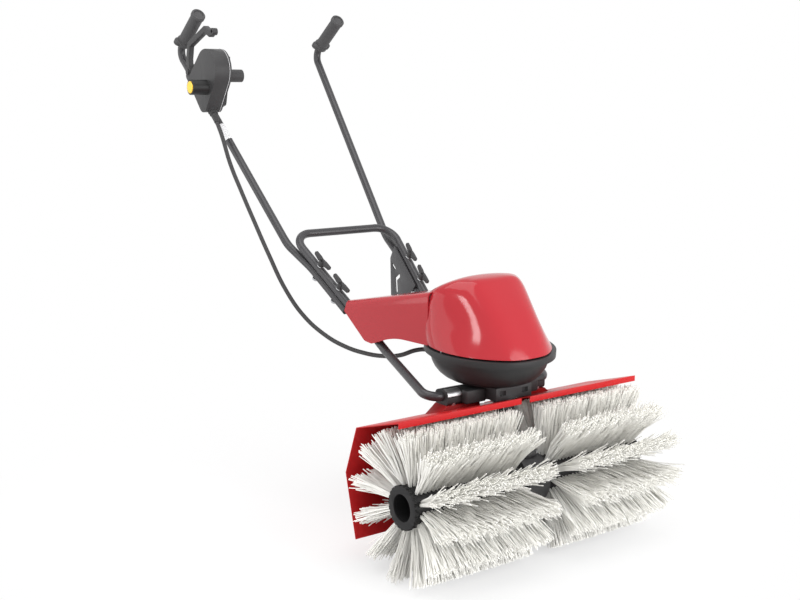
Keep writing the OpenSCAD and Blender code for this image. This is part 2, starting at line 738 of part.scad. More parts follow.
module tail_hollow() polygon([
    [tail_start - tail_back, tail_top_up + tail_fall * tail_back - hood_wall],
    [2 * tail_back, tail_tip_up - tail_fall * tail_back - hood_wall], [2 * tail_back, -tail_back],
    [tail_start - tail_back, -tail_back]
]);
module motor_hood() color(red) beam_frame() difference() {
    union() {
        cover_frame() hood_loft(0);
        difference() {
            lateral(-tail_out, tail_out) tail_outline();
            lateral(hood_wall - tail_out, tail_out - hood_wall) tail_hollow();
            cover_frame() upright(0, bowl_h, rim_r + open_fit);
        }
    }
    difference() {
        cover_frame() hood_loft(hood_wall);
        cover_frame() hood_screw_places() upright(bowl_h, bowl_h + hood_boss_h, hood_boss_r);
    }
    cover_frame() hood_screw_places()
        upright(bowl_h - overrun, bowl_h + hood_boss_h - 4 * room, hood_screw_r + snug);
}
module hood_screws() color(steel) beam_frame() cover_frame() hood_screw_places() {
    upright(bowl_h - rim_h, bowl_h + hood_boss_h - 5 * room, hood_screw_r);
    upright(bowl_h - rim_h - hood_screw_r, bowl_h - rim_h, hood_screw_head_r);
}

// Motor
module motor_bolts() color(steel) beam_frame() {
    motor_bolt_holes(bolt_r, beam_top * 0.3, motor_foot + bell_foot_h);
    motor_bolt_holes(bolt_head_r, motor_foot + bell_foot_h, motor_foot + bell_foot_h + bolt_head_h * 0.8);
}
module bearing(low, high, r, bore) translate([0, 0, low]) difference() {
    cylinder(r = r, h = high - low);
    translate([0, 0, -overrun]) cylinder(r = bore, h = high - low + 2 * overrun);
}
module bell_lower() color(charcoal) beam_frame() difference() {
    union() {
        upright(motor_foot, motor_foot + bell_foot_h, pad_r - 4 * room);
        upright(motor_foot, stator_low, shaft_bearing_r + 8 * room);
        upright(bell_low, stator_low, stator_d / 2 + 2 * room);
    }
    upright(motor_foot - overrun, stator_low + overrun, shaft_r + 2 * room);
    upright(bell_low, stator_low + overrun, shaft_bearing_r + snug);
    motor_bolt_holes(bolt_r + open_fit, motor_foot - overrun, motor_foot + bell_foot_h + overrun);
}
module bell_upper() color(charcoal) beam_frame()
    bearing(stator_top, stator_top + bell_h, stator_d / 2 + 2 * room, shaft_bearing_r + snug);
module motor_stator() color(copper) beam_frame()
    bearing(stator_low, stator_top, stator_d / 2, rotor_d / 2 + room);
module rotor_bearings() color(steel) beam_frame() {
    bearing(bell_low, stator_low, shaft_bearing_r, shaft_r + slip);
    bearing(stator_top, stator_top + bell_h, shaft_bearing_r, shaft_r + slip);
}
module rotor_shaft() color(zinc) beam_frame() upright(2 * room, shaft_top, shaft_r);
module rotor_core() color(steel) beam_frame()
    bearing(stator_low + 6 * room, stator_top - 6 * room, rotor_d / 2, shaft_r + snug);
fan_blades = 9;
fan_hub_r = shaft_r + 5 * room;
module motor_fan() color(charcoal) beam_frame() difference() {
    union() {
        upright(fan_low, fan_low + fan_h, fan_hub_r);
        upright(fan_low, fan_low + fan_h / 5, fan_d / 2);
        for (i = [0 : fan_blades - 1]) rotate([0, 0, 360 * i / fan_blades])
            translate([shaft_r + 2 * room, -room, fan_low])
                cube([fan_d / 2 - shaft_r - 4 * room, 2 * room, fan_h]);
    }
    upright(fan_low - overrun, fan_low + fan_h + overrun, shaft_r + snug);
}

// Gears
module spur_gear() translate([0, 0, 2 * room]) linear_extrude(height = spur_w) difference() {
    rotate(90) polygon(gear_points(spur_teeth, spur_size, spur_tooth_share));
    circle(r = shaft_r + snug);
}
module motor_pinion() color(steel) beam_frame() spur_gear();
module lay_gear() color(steel) beam_frame() translate([0, gear_back, 0]) spur_gear();
worm_floor = -worm_half - room - bearing_w;
lay_top = beam_z + spur_w + 2 * room;
module lay_shaft() color(zinc) axle_frame() translate([0, worm_y, 0]) upright(worm_floor, lay_top, shaft_r);
worm_sides = 20;
worm_rings = 36;
function worm_radius(a, z) =
    let (t = z / worm_lead - (a + 90) / 360, d = abs(t - round(t)) * worm_lead)
    min(worm_tip_r, max(worm_root_r,
        worm_pitch_r + (worm_lead * worm_thread_share / 2 - d) / tan(pressure)));
module worm_thread() {
    points = concat(
        [for (k = [0 : worm_rings]) for (i = [0 : worm_sides - 1])
            let (z = worm_len * (k / worm_rings - 0.5), a = 360 * i / worm_sides, r = worm_radius(a, z))
            [r * cos(a), r * sin(a), z]],
        [[0, 0, -worm_half], [0, 0, worm_half]]
    );
    last = worm_rings * worm_sides;
    polyhedron(points, concat(
        [for (i = [0 : worm_sides - 1]) [len(points) - 2, i, (i + 1) % worm_sides]],
        [for (k = [0 : worm_rings - 1]) for (i = [0 : worm_sides - 1])
            let (n = (i + 1) % worm_sides, a = k * worm_sides, b = a + worm_sides)
            each [[a + i, b + i, b + n], [a + i, b + n, a + n]]],
        [for (i = [0 : worm_sides - 1]) [len(points) - 1, last + (i + 1) % worm_sides, last + i]]
    ));
}
module worm() color(steel) axle_frame() translate([0, worm_y, 0]) difference() {
    worm_thread();
    upright(-worm_half - overrun, worm_half + overrun, shaft_r + snug);
}
module worm_wheel() color(copper) axle_frame() difference() {
    union() {
        rotate([90, 0, 90]) linear_extrude(height = wheel_w, center = true, twist = -wheel_twist, slices = 3)
            rotate(180 / wheel_teeth) polygon(gear_points(wheel_teeth, wheel_size, wheel_tooth_share));
        lateral(wheel_w / 2, boss_out) circle(r = boss_r);
        lateral(-boss_out, -wheel_w / 2) circle(r = boss_r);
    }
    lateral(-boss_out - overrun, boss_out + overrun) circle(r = axle_r + snug);
}
module worm_bearings() color(steel) axle_frame() translate([0, worm_y, 0]) {
    bearing(worm_floor, worm_floor + bearing_w, shaft_bearing_r, shaft_r + slip);
    bearing(flange_top - bearing_w, flange_top, shaft_bearing_r, shaft_r + slip);
}

// Gear case
worm_case_r = worm_tip_r + room + case_wall;
wheel_case_r = wheel_tip_r + 2 * room + case_wall;
lug_r = 8.5;
lug_half = 14;
lug_turns = [110, 170, 230, 290];
lug_at = wheel_case_r + bolt_head_r + open_fit;
module lug_places() for (a = lug_turns) rotate([a, 0, 0]) translate([0, lug_at, 0]) children();
module case_outside() {
    lateral(-case_half, case_half) circle(r = wheel_case_r);
    translate([0, worm_y, 0]) {
        upright(worm_floor - case_wall, worm_half + room + case_wall, worm_case_r);
        upright(0, flange_top, leg_r);
    }
    translate([-flange_half, worm_y - leg_r + 5 * room, flange_top - flange_h])
        cube([2 * flange_half, 2 * leg_r - 5 * room, flange_h]);
    lug_places() lateral(-lug_half, lug_half) circle(r = lug_r);
}
module case_hollow() {
    lateral(-wheel_w / 2 - room, wheel_w / 2 + room) circle(r = wheel_tip_r + 2 * room);
    lateral(-case_half - overrun, case_half + overrun) circle(r = axle_bearing_r + snug);
    translate([0, worm_y, 0]) {
        upright(-worm_half - room, worm_half + room, worm_tip_r + room);
        upright(worm_floor, flange_top + overrun, shaft_r + 3 * room);
        upright(worm_floor, -worm_half, shaft_bearing_r + snug);
        upright(flange_top - bearing_w, flange_top + overrun, shaft_bearing_r + snug);
    }
    translate([0, motor_y, beam_z])
        flange_bolt_holes(bolt_r + open_fit, -head_t - flange_h - overrun, overrun - head_t);
    lug_places() lateral(-lug_half - overrun, lug_half + overrun) circle(r = bolt_r + snug);
}
module gear_case_half() difference() {
    case_outside();
    case_hollow();
    translate([-2 * case_half - flange_half, -2 * beam_z, -2 * beam_z])
        cube([2 * case_half + flange_half, 4 * beam_z, 4 * beam_z]);
}
module gear_case_left() color(black) axle_frame() gear_case_half();
module gear_case_right() color(black) axle_frame() right_side() gear_case_half();
module case_bolts() color(steel) axle_frame() lug_places() {
    lateral(-lug_half, lug_half) circle(r = bolt_r);
    lateral(lug_half, lug_half + bolt_head_h * 0.8) circle(r = bolt_head_r);
    lateral(-lug_half - bolt_head_h * 0.8, -lug_half) circle(r = bolt_head_r, $fn = 6);
}
bearing_in = boss_out + snug;
bearing_out = case_half - 4 * room;
module axle_ring(a, b, r, bore) lateral(a, b) difference() {
    circle(r = r);
    circle(r = bore);
}
module axle_bearings() color(steel) axle_frame() both_sides()
    axle_ring(bearing_in, bearing_out, axle_bearing_r, axle_r + slip);
module axle_seals() color(charcoal) axle_frame() both_sides()
    axle_ring(bearing_out, case_half, axle_bearing_r, axle_r + slip);

// Brush
module brush_axle() color(zinc) axle_frame() difference() {
    lateral(-axle_out - 2 * room, axle_out + 2 * room) circle(r = axle_r);
    both_sides() hub_pin(pin_r + snug);
}
module hub_pin(r) translate([core_in + hub_len / 2, 0, 0]) upright(room - core_bore_r, core_bore_r - room, r);
module drive_hub() difference() {
    union() {
        lateral(hub_in, core_in) circle(r = core_r - 5 * room);
        lateral(hub_in, axle_out) circle(r = core_bore_r - snug);
    }
    lateral(hub_in - overrun, axle_out + overrun) circle(r = axle_r + snug);
    translate([core_in + hub_len / 2, 0, 0]) upright(-core_bore_r, core_bore_r, pin_r + snug);
}
module drive_hub_left() color(steel) axle_frame() drive_hub();
module drive_hub_right() color(steel) axle_frame() right_side() drive_hub();
module hub_pins() color(zinc) axle_frame() both_sides() hub_pin(pin_r);
module brush_core() lateral(core_in, core_out) difference() {
    circle(r = core_r);
    circle(r = core_bore_r);
    for (i = [0 : strip_rows - 1]) rotate(row_turn(i))
        translate([core_r - strip_depth, -groove_w / 2]) square([strip_depth + overrun, groove_w]);
}
module brush_core_left() color(charcoal) axle_frame() brush_core();
module brush_core_right() color(charcoal) axle_frame() right_side() brush_core();
lobe_r = 3;
module end_ring() lateral(core_out, core_out + end_ring_t) difference() {
    circle(r = core_r + 2 * room);
    circle(r = core_bore_r);
    for (i = [0 : end_ring_lobes - 1]) rotate(360 * (i + 0.5) / end_ring_lobes)
        translate([core_r + 2 * room + lobe_r / 3, 0]) circle(r = lobe_r);
}
module end_ring_left() color(charcoal) axle_frame() end_ring();
module end_ring_right() color(charcoal) axle_frame() right_side() end_ring();
module bristles() polyhedron(
    [for (i = [0 : strip_rows - 1]) each strip_points(i)],
    [for (i = [0 : strip_rows - 1]) for (f = strip_faces()) [f[0], f[2], f[1]] + i * strip_size * [1, 1, 1]]
);
module bristles_left() color(cream) axle_frame() bristles();
module bristles_right() color(cream) axle_frame() right_side() bristles();

// Guard
leg_room = leg_r + 3 * room;
module guard() difference() {
    lateral(guard_gap, guard_out) polygon(band(guard_path, 0, guard_t));
    translate([0, worm_y, 0]) upright(0, beam_z, leg_room);
    translate([0, motor_y, beam_z]) guard_screw_holes(bolt_r + open_fit);
}
module guard_left() color(red) axle_frame() guard();
module guard_right() color(red) axle_frame() right_side() guard();
function guard_z(y) = guard_path[1][1] + (y - guard_path[1][0]) * guard_slope[1] / guard_slope[0];
bracket_front = motor_y - beam_depth / 2 + room;
bracket_rear = motor_y + beam_depth / 2 - room;
screw_side = 12;
screw_grip = 14;
guard_up = [0, -guard_slope[1], guard_slope[0]];
function screw_at(x, y) = [x, y, guard_z(motor_y + y) - beam_z];
module guard_screw_holes(r) for (x = guard_screw_out) for (y = [-screw_side, screw_side])
    rod(screw_at(x, y) - guard_up * (guard_t + overrun), screw_at(x, y) + guard_up * screw_grip, r);
wedge_top = beam_z - beam_top;
wedge_h = wedge_top - guard_z(bracket_rear);
wedge_splay = 28;
module wedge_face() polygon([
    [0, wedge_top - 2 * wedge_h], [beam_len / 2 + 2 * wedge_splay, wedge_top - 2 * wedge_h],
    [beam_len / 2 - wedge_splay, wedge_top + wedge_h], [0, wedge_top + wedge_h]
]);
module guard_bracket() color(dark_red) axle_frame() both_sides() difference() {
    intersection() {
        lateral(bracket_in, beam_len / 2 + 2 * wedge_splay) polygon([
            [bracket_front, guard_z(bracket_front)], [bracket_rear, guard_z(bracket_rear)],
            [bracket_rear, wedge_top], [bracket_front, wedge_top]
        ]);
        translate([0, bracket_rear + overrun, 0]) rotate([90, 0, 0])
            linear_extrude(height = beam_depth + overrun) wedge_face();
    }
    translate([0, motor_y, beam_z]) guard_screw_holes(bolt_r + snug);
}
module guard_screws() color(zinc) beam_frame() both_sides()
    for (x = guard_screw_out) for (y = [-screw_side, screw_side]) {
        rod(screw_at(x, y) - guard_up * guard_t, screw_at(x, y) + guard_up * (screw_grip - room), bolt_r);
        rod(screw_at(x, y) - guard_up * (guard_t + bolt_r), screw_at(x, y) - guard_up * guard_t, bolt_head_r);
    }

// Handles
module handle() difference() {
    bent_pipe([low_pt, turn_pt, mid_pt, top_pt, end_pt], [0, mid_bend, mid_bend, top_bend, 0]);
    handle_holes();
}
module handle_left() color(black) beam_frame() handle();
module handle_right() color(black) beam_frame() right_side() handle();
plug_t = 3;
module tube_plugs() color(charcoal) beam_frame() both_sides() {
    rod(low_pt - leg_dir * plug_t, low_pt, tube_r);
    rod(low_pt, low_pt + leg_dir * tube_r, tube_r - tube_wall - snug);
}
grip_r = grip_d / 2;
ear_r = 11;
ear_out = 17;
ear_h = 11;
module grip_frame() translate(top_pt) rotate([90 - grip_rise, 0, 0]) children();
module grip() grip_frame() difference() {
    union() {
        upright(grip_start, grip_start + grip_len, grip_r - room);
        upright(grip_start, grip_start + ear_h, grip_r + 2 * room);
        upright(grip_start + grip_len - ear_h, grip_start + grip_len - 2 * room, grip_r + room);
        for (s = [-1, 1]) translate([s * ear_out, 0, 0]) upright(grip_start, grip_start + ear_h, ear_r);
    }
    upright(grip_start - overrun, grip_start + grip_len - tube_r, tube_r + slip);
    upright(grip_start + grip_len - 3 * room, grip_start + grip_len + overrun, grip_r - 5 * room);
}
module grip_left() color(black) beam_frame() grip();
module grip_right() color(black) beam_frame() right_side() grip();
washer_t = 2;
washer_r = 9;
knob_low = tube_r + washer_t;
knob_hub_h = 14;
knob_hub_r = 8;
knob_t = 6;
module bolt_frame(d) {
    p = leg_at(d);
    multmatrix([
        [leg_dir[0], cross(-drop_dir, leg_dir)[0], -drop_dir[0], p[0]],
        [leg_dir[1], cross(-drop_dir, leg_dir)[1], -drop_dir[1], p[1]],
        [leg_dir[2], cross(-drop_dir, leg_dir)[2], -drop_dir[2], p[2]],
        [0, 0, 0, 1]
    ]) children();
}
module handle_bolts() color(steel) beam_frame() both_sides() for (d = [bolt_low, bolt_high]) bolt_frame(d) {
    upright(-handle_drop - tube_r, knob_low + knob_hub_h / 2, handle_bolt_r);
    upright(-handle_drop - tube_r - bolt_head_h, -handle_drop - tube_r, bolt_head_r + 2 * room);
}
module handle_washers() color(zinc) beam_frame() both_sides() for (d = [bolt_low, bolt_high]) bolt_frame(d)
    bearing(tube_r, knob_low, washer_r, handle_bolt_r + open_fit);
knob_wing_h = 13;
knob_rounds = [3, 4, 4, 3, 2.5, 3, 5, 3, 2.5];
knob_wing_shares = [
    [-1, 0.3], [-0.45, 0], [0.45, 0], [1, 0.3], [1, 1], [0.35, 1], [0, 0.82], [-0.35, 1], [-1, 1]
];
knob_hole_share = 0.62;
module knob(d) bolt_frame(d) difference() {
    union() {
        upright(knob_low + slip, knob_low + knob_hub_h, knob_hub_r);
        translate([0, knob_t / 2, knob_low + knob_hub_h / 2]) rotate([90, 0, 0])
            linear_extrude(height = knob_t) polygon(rounded(
                [for (q = knob_wing_shares) [q[0] * knob_span / 2, q[1] * knob_wing_h]], knob_rounds
            ));
    }
    upright(knob_low, knob_low + knob_hub_h / 2 + room, handle_bolt_r + slip);
    translate([0, knob_t, knob_low + knob_hub_h / 2 + knob_wing_h * knob_hole_share]) rotate([90, 0, 0])
        cylinder(r = bolt_r, h = 2 * knob_t);
}
module knob_left_low() color(black) beam_frame() knob(bolt_low);
module knob_left_high() color(black) beam_frame() knob(bolt_high);
module knob_right_low() color(black) beam_frame() right_side() knob(bolt_low);
module knob_right_high() color(black) beam_frame() right_side() knob(bolt_high);

// Slotted bracket on the left leg: places along the leg and below it
bracket_t = 4;
bracket_outline = [[112, 4], [262, 4], [256, 42], [180, 115], [166, 111], [124, 52]];
bracket_rounds = [4, 4, 10, 8, 10, 8];
slot_short = [[236, 47], [218, 46]];
slot_long = [[190, 45], [196, 61], [172, 81]];
slot_short_w = 7;
slot_long_w = 11;
module slot(p, w) {
    polygon(band(p, w / 2, w / 2));
    translate(p[0]) circle(d = w);
    translate(p[len(p) - 1]) circle(d = w);
}
module slotted_bracket() color(black) beam_frame() {
    n = cross(leg_dir, drop_dir);
    c = thigh_pt + (n[0] > 0 ? -1 : 1) * n * (tube_r + bend_swell + snug + (n[0] > 0 ? bracket_t : 0));
    multmatrix([
        [leg_dir[0], drop_dir[0], n[0], c[0]], [leg_dir[1], drop_dir[1], n[1], c[1]],
        [leg_dir[2], drop_dir[2], n[2], c[2]], [0, 0, 0, 1]
    ]) linear_extrude(height = bracket_t) difference() {
        polygon(rounded(bracket_outline, bracket_rounds));
        slot(slot_short, slot_short_w);
        slot(slot_long, slot_long_w);
    }
}

// Switch, drawn at the left handle and set on the right one
module switch_frame() beam_frame() right_side() translate([0, top_pt[1], top_pt[2]]) children();
module shield(inset) hull() {
    translate(box_top_at) circle(r = box_top_r - inset);
    translate(box_rear_at) circle(r = box_corner_r - inset);
    translate(box_low_at) circle(r = box_corner_r - inset);
}
function on_face(x, p) = [x, p[0], p[1]];
box_gland_from = on_face(box_mid, box_low_at);
saddle_points = [
    [-225, -96], [-212, -142], [-143, -163], [-43, -66], [-72, -34], [-112, -40], [-190, -58]
];
saddle_rounds = [8, 8, 10, 10, 14, 14, 8];
module saddle_outline() polygon(rounded(saddle_points, saddle_rounds));
module switch_shells() color(charcoal) switch_frame() {
    difference() {
        union() {
            lateral(box_in + box_plate + seam_t, box_out) shield(0);
            lateral(box_out - overrun, box_out + barrel_len) translate(button_at) circle(r = barrel_r);
            rod(box_gland_from, box_gland_from + gland_dir * box_gland_at, gland_boss_r);
        }
        lateral(box_in + box_plate, box_out - box_wall) shield(box_wall);
        lateral(box_in, box_out + barrel_len + overrun)
            translate(button_at) circle(r = button_d / 2 + 2 * slip);
        rod(box_gland_from, box_gland_from + gland_dir * (box_gland_at + overrun), gland_shank_r + snug);
    }
    difference() {
        union() {
            lateral(box_in, box_in + box_plate) shield(0);
            lateral(box_in - saddle_depth, box_in) saddle_outline();
            lateral(box_in - inlet_len, box_in) translate(inlet_at) circle(r = inlet_d / 2);
            lateral(box_in - hook_len, box_in) translate(hook_at) circle(r = hook_r);
            translate(on_face(box_in - hook_len + hook_r, hook_at)) upright(0, hook_len * 0.7, hook_r);
        }
        translate([0, -top_pt[1], -top_pt[2]])
            rod(mid_pt + rise_dir * mid_bend, top_pt + rise_dir * top_bend, tube_r + slip);
        lateral(box_in - inlet_len - overrun, box_in - inlet_floor)
            translate(inlet_at) circle(r = inlet_d / 2 - inlet_wall);
        lateral(box_in - inlet_len - overrun, box_in - inlet_len + inlet_mouth)
            translate(inlet_at) circle(r = inlet_d / 2 - inlet_mouth_wall);
        lateral(box_in - saddle_depth / 2, box_in + overrun)
            translate(pivot_at) circle(r = lever_pin_r + snug);
    }
    for (a = [30, 150, 270]) lateral(box_in - inlet_len * 0.75, box_in - inlet_floor + overrun)
        translate(inlet_at + polar(inlet_d / 5, a)) circle(r = inlet_pin_r);
    lateral(box_in - saddle_depth / 2 + room, lever_in + lever_t + slip)
        translate(pivot_at) circle(r = lever_pin_r);
    lateral(lever_in + lever_t + slip, lever_in + lever_t + 3 * room)
        translate(pivot_at) circle(r = 2 * lever_pin_r);
}
module switch_seam() color(zinc) switch_frame()
    lateral(box_in + box_plate, box_in + box_plate + seam_t) difference() {
        shield(-seam_lip);
        shield(box_wall);
    }
button_back = box_out - box_wall - slip;
button_rim = 3;
module lock_button() color(yellow) switch_frame() {
    lateral(button_back - button_rim, box_out + barrel_len + button_proud)
        translate(button_at) circle(r = button_d / 2);
    lateral(button_back - button_rim, button_back) translate(button_at) circle(r = button_d / 2 + button_rim);
}
lever_path = [[-93, -56], [-92, -22], [-101, 15], [-194, 51], [-222, 38], [-233, 43]];
lever_loop_r = 9;
lever_hole_r = 4.5;
lever_out = lever_in + lever_t;
module switch_lever() color(charcoal) switch_frame() difference() {
    union() {
        lateral(lever_in, lever_out) polygon(band(lever_path, lever_w / 2, lever_w / 2));
        lateral(lever_in, lever_out) translate(pivot_at) circle(r = 3 * lever_pin_r);
        lateral(lever_in, lever_out)
            translate(lever_path[5] - [lever_loop_r / 2, 0]) circle(r = lever_loop_r);
    }
    lateral(lever_in - overrun, lever_out + overrun) translate(pivot_at) circle(r = lever_pin_r + slip);
    lateral(lever_in - overrun, lever_out + overrun)
        translate(lever_path[5] - [lever_loop_r / 2, 0]) circle(r = lever_hole_r);
}
module gland(a, d) {
    rod(a - d * gland_nut_h, a, gland_shank_r);
    rod(a, a + d * gland_nut_h, gland_r);
    spread(a + d * gland_nut_h, a + d * (gland_nut_h + gland_taper), gland_r - 2 * room, gland_tip_r);
}
module cable_glands() color(charcoal) {
    switch_frame() gland(box_gland_from + gland_dir * box_gland_at, gland_dir);
    beam_frame() gland([motor_gland_x, motor_gland_back, beam_top + motor_gland_up], [0, 1, 0]);
}
module motor_cable() color(black) axle_frame() {
    path = route_points(cable_route, cable_steps);
    last = len(path) - 1;
    polyhedron(
        [for (i = [0 : last]) for (k = [0 : cable_sides - 1])
            ring_point(path, i, cable_r, 360 * k / cable_sides)],
        concat(
            [[for (k = [0 : cable_sides - 1]) k]],
            [for (i = [0 : last - 1]) for (k = [0 : cable_sides - 1])
                let (n = (k + 1) % cable_sides, a = i * cable_sides, b = a + cable_sides)
                each [[a + k, b + k, b + n], [a + k, b + n, a + n]]],
            [[for (k = [cable_sides - 1 : -1 : 0]) last * cable_sides + k]]
        )
    );
}

main_frame();
cross_beam();
tube_caps();
cap_bolts();
head_plate();
flange_bolts();
motor_base();
motor_hood();
hood_screws();
motor_bolts();
motor_stator();
bell_lower();
bell_upper();
rotor_bearings();
rotor_shaft();
rotor_core();
motor_fan();
motor_pinion();
lay_gear();
lay_shaft();
worm();
worm_bearings();
gear_case_left();
gear_case_right();
case_bolts();
axle_bearings();
axle_seals();
brush_axle();
worm_wheel();
drive_hub_left();
drive_hub_right();
hub_pins();
brush_core_left();
brush_core_right();
end_ring_left();
end_ring_right();
bristles_left();
bristles_right();
guard_left();
guard_right();
guard_bracket();
guard_screws();
handle_left();
handle_right();
tube_plugs();
grip_left();
grip_right();
handle_bolts();
handle_washers();
knob_left_low();
knob_left_high();
knob_right_low();
knob_right_high();
slotted_bracket();
switch_shells();
switch_seam();
lock_button();
switch_lever();
cable_glands();
motor_cable();
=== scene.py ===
"""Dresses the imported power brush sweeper: hood, bristles, cable, trim, finishes and studio."""

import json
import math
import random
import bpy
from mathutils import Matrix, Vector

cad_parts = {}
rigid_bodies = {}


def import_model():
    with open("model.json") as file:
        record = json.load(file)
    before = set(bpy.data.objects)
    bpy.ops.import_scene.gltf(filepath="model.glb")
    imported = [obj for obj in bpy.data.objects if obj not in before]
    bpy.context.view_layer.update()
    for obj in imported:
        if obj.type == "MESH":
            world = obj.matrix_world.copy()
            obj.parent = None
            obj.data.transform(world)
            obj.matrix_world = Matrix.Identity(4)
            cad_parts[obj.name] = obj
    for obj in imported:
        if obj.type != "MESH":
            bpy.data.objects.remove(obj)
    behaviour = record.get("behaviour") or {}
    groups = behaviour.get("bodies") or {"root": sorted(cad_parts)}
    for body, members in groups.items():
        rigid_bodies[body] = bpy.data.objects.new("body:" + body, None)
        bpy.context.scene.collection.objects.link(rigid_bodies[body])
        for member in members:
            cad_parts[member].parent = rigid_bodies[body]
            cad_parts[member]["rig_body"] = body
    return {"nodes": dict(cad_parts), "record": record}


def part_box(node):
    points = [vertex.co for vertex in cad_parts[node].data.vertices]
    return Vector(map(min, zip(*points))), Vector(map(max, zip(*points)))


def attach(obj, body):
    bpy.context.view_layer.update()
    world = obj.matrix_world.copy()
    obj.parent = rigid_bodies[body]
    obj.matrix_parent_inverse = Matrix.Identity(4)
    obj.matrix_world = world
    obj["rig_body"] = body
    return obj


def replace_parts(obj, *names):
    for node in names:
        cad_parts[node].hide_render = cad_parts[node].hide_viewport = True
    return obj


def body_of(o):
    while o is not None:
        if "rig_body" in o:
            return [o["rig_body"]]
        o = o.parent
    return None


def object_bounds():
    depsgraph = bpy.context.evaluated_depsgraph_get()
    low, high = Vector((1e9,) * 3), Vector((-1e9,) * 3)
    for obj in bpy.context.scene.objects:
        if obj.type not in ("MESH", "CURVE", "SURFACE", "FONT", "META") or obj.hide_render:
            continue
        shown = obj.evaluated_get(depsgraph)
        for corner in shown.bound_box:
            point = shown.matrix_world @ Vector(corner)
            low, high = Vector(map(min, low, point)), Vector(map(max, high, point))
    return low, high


bl_info = {
    "name": "Power Brush Sweeper",
    "version": (1, 0, 0),
    "blender": (4, 5, 0),
    "location": "View3D > Sidebar > Sweeper",
    "description": "Models the moulded and soft pieces of a walk-behind power brush on its frame",
    "category": "Object",
}

import bpy
from bpy.props import FloatProperty, FloatVectorProperty, IntProperty, PointerProperty
from mathutils import Matrix, Vector

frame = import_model()
CAD_LOW, CAD_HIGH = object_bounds()


def node_mid(name):
    """Middle of a node's box"""
    low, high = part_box(name)
    return (low + high) / 2


# From the frame: middle of the brush, top of the beam over its axis, axis of the beam under the motor,
# radius and ends of the left core, radius of the brush
AXLE = node_mid("brush_axle")
BEAM_TOP = 0.018
BEAM = Vector((0, node_mid("motor_stator").y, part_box("cross_beam")[1].z - BEAM_TOP))
CORE_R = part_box("brush_core_left")[1].z - AXLE.z
CORE_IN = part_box("brush_core_left")[0].x
CORE_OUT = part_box("brush_core_left")[1].x
BRUSH_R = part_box("bristles_left")[1].z - AXLE.z

# Route of the motor cable from the middle of the brush, in metres
CABLE_ROUTE = [
    (-0.2455, 0.9098, 0.7432), (-0.245, 0.886, 0.711), (-0.238, 0.857, 0.640), (-0.226, 0.822, 0.570),
    (-0.214, 0.783, 0.500), (-0.200, 0.735, 0.418), (-0.183, 0.684, 0.335), (-0.160, 0.640, 0.275),
    (-0.135, 0.583, 0.233), (-0.112, 0.525, 0.210), (-0.092, 0.470, 0.201), (-0.076, 0.420, 0.201),
    (-0.062, 0.365, 0.211), (-0.048, 0.322, 0.229), (-0.0405, 0.292, 0.2355), (-0.040, 0.2684, 0.236),
]

# Hood sections as shares of its height and of the rim's radius: rise, then the plan from back to front,
# as the rear, the rear corner, the widest place, the side wall, the front crease and the front. Rear and
# front lie on the middle line, and the places between are given across and back
HOOD_SECTIONS = [
    (-0.030, 0.993, 0.638, 0.761, 0.978, 0.172, 0.877, -0.466, 0.414, -0.903, -0.993),
    (0.240, 0.970, 0.660, 0.800, 0.955, 0.300, 0.800, -0.220, 0.425, -0.734, -0.780),
    (0.430, 0.970, 0.660, 0.800, 0.905, 0.360, 0.775, -0.060, 0.425, -0.570, -0.615),
    (0.620, 0.960, 0.640, 0.850, 0.885, 0.420, 0.755, 0.060, 0.425, -0.405, -0.450),
    (0.800, 0.620, 0.580, 0.590, 0.820, 0.390, 0.685, 0.080, 0.420, -0.220, -0.260),
    (0.910, 0.440, 0.460, 0.410, 0.680, 0.275, 0.580, 0.080, 0.415, -0.100, -0.135),
    (0.975, 0.330, 0.320, 0.300, 0.500, 0.190, 0.460, 0.080, 0.380, -0.030, -0.060),
    (0.998, 0.250, 0.180, 0.220, 0.270, 0.140, 0.270, 0.090, 0.240, 0.030, 0.010),
    (1.004, 0.130, 0.000, 0.130, 0.000, 0.130, 0.000, 0.130, 0.000, 0.130, 0.130),
]

# Lower edge of the hood's tail: back from the motor's axis, up from the beam, corner radius
TAIL_EDGE = [
    (0.062, 0.098, 0.0), (0.190, 0.094, 0.280), (0.278, 0.064, 0.012), (0.307, 0.066, 0.016),
    (0.393, 0.124, 0.0),
]

# Upper line of the tail: back from the motor's axis, up from the beam
TAIL_TOP = [(0.062, 0.2155), (0.386, 0.150)]

# Right handle's upper run, from the middle of the beam
HANDLE_MID = Vector((-0.151, 0.6193, 0.2602))
HANDLE_TOP = Vector((-0.217, 1.077, 0.748))
TUBE_R = 0.010

# Outer face of the switch box, from the middle of the beam, and where its barrel turns dark
BOX_FACE = -0.266
BARREL_FADE = (BOX_FACE - 0.004, BOX_FACE - 0.0005)

# Nodes whose edges are eased on a copy, with the width of the easing
EASED_EDGES = {
    "cross_beam": 0.0030, "tube_caps": 0.0025, "motor_base": 0.0012, "switch_shells": 0.0050,
    "switch_lever": 0.0018, "lock_button": 0.0012, "grip_left": 0.0010, "grip_right": 0.0010,
    "knob_left_low": 0.0016, "knob_left_high": 0.0016,
    "knob_right_low": 0.0016, "knob_right_high": 0.0016,
    "slotted_bracket": 0.0008, "guard_left": 0.0005, "guard_right": 0.0005, "guard_bracket": 0.0010,
    "end_ring_left": 0.0012, "end_ring_right": 0.0012,
}
EASE_STEPS = 3
EASE_ANGLE = math.radians(40)
FLAT_ANGLE = math.radians(0.5)

# Points nearer than this are merged, in modelled sheets and in copies of nodes
SHEET_GAP = 0.00002
NODE_GAP = 0.00001

# Middle range of a noise, and the peaks of a noise that show as scuffs
NOISE_MIDDLE = (0.3, 0.7)
SCUFF_PEAKS = (0.62, 0.72)

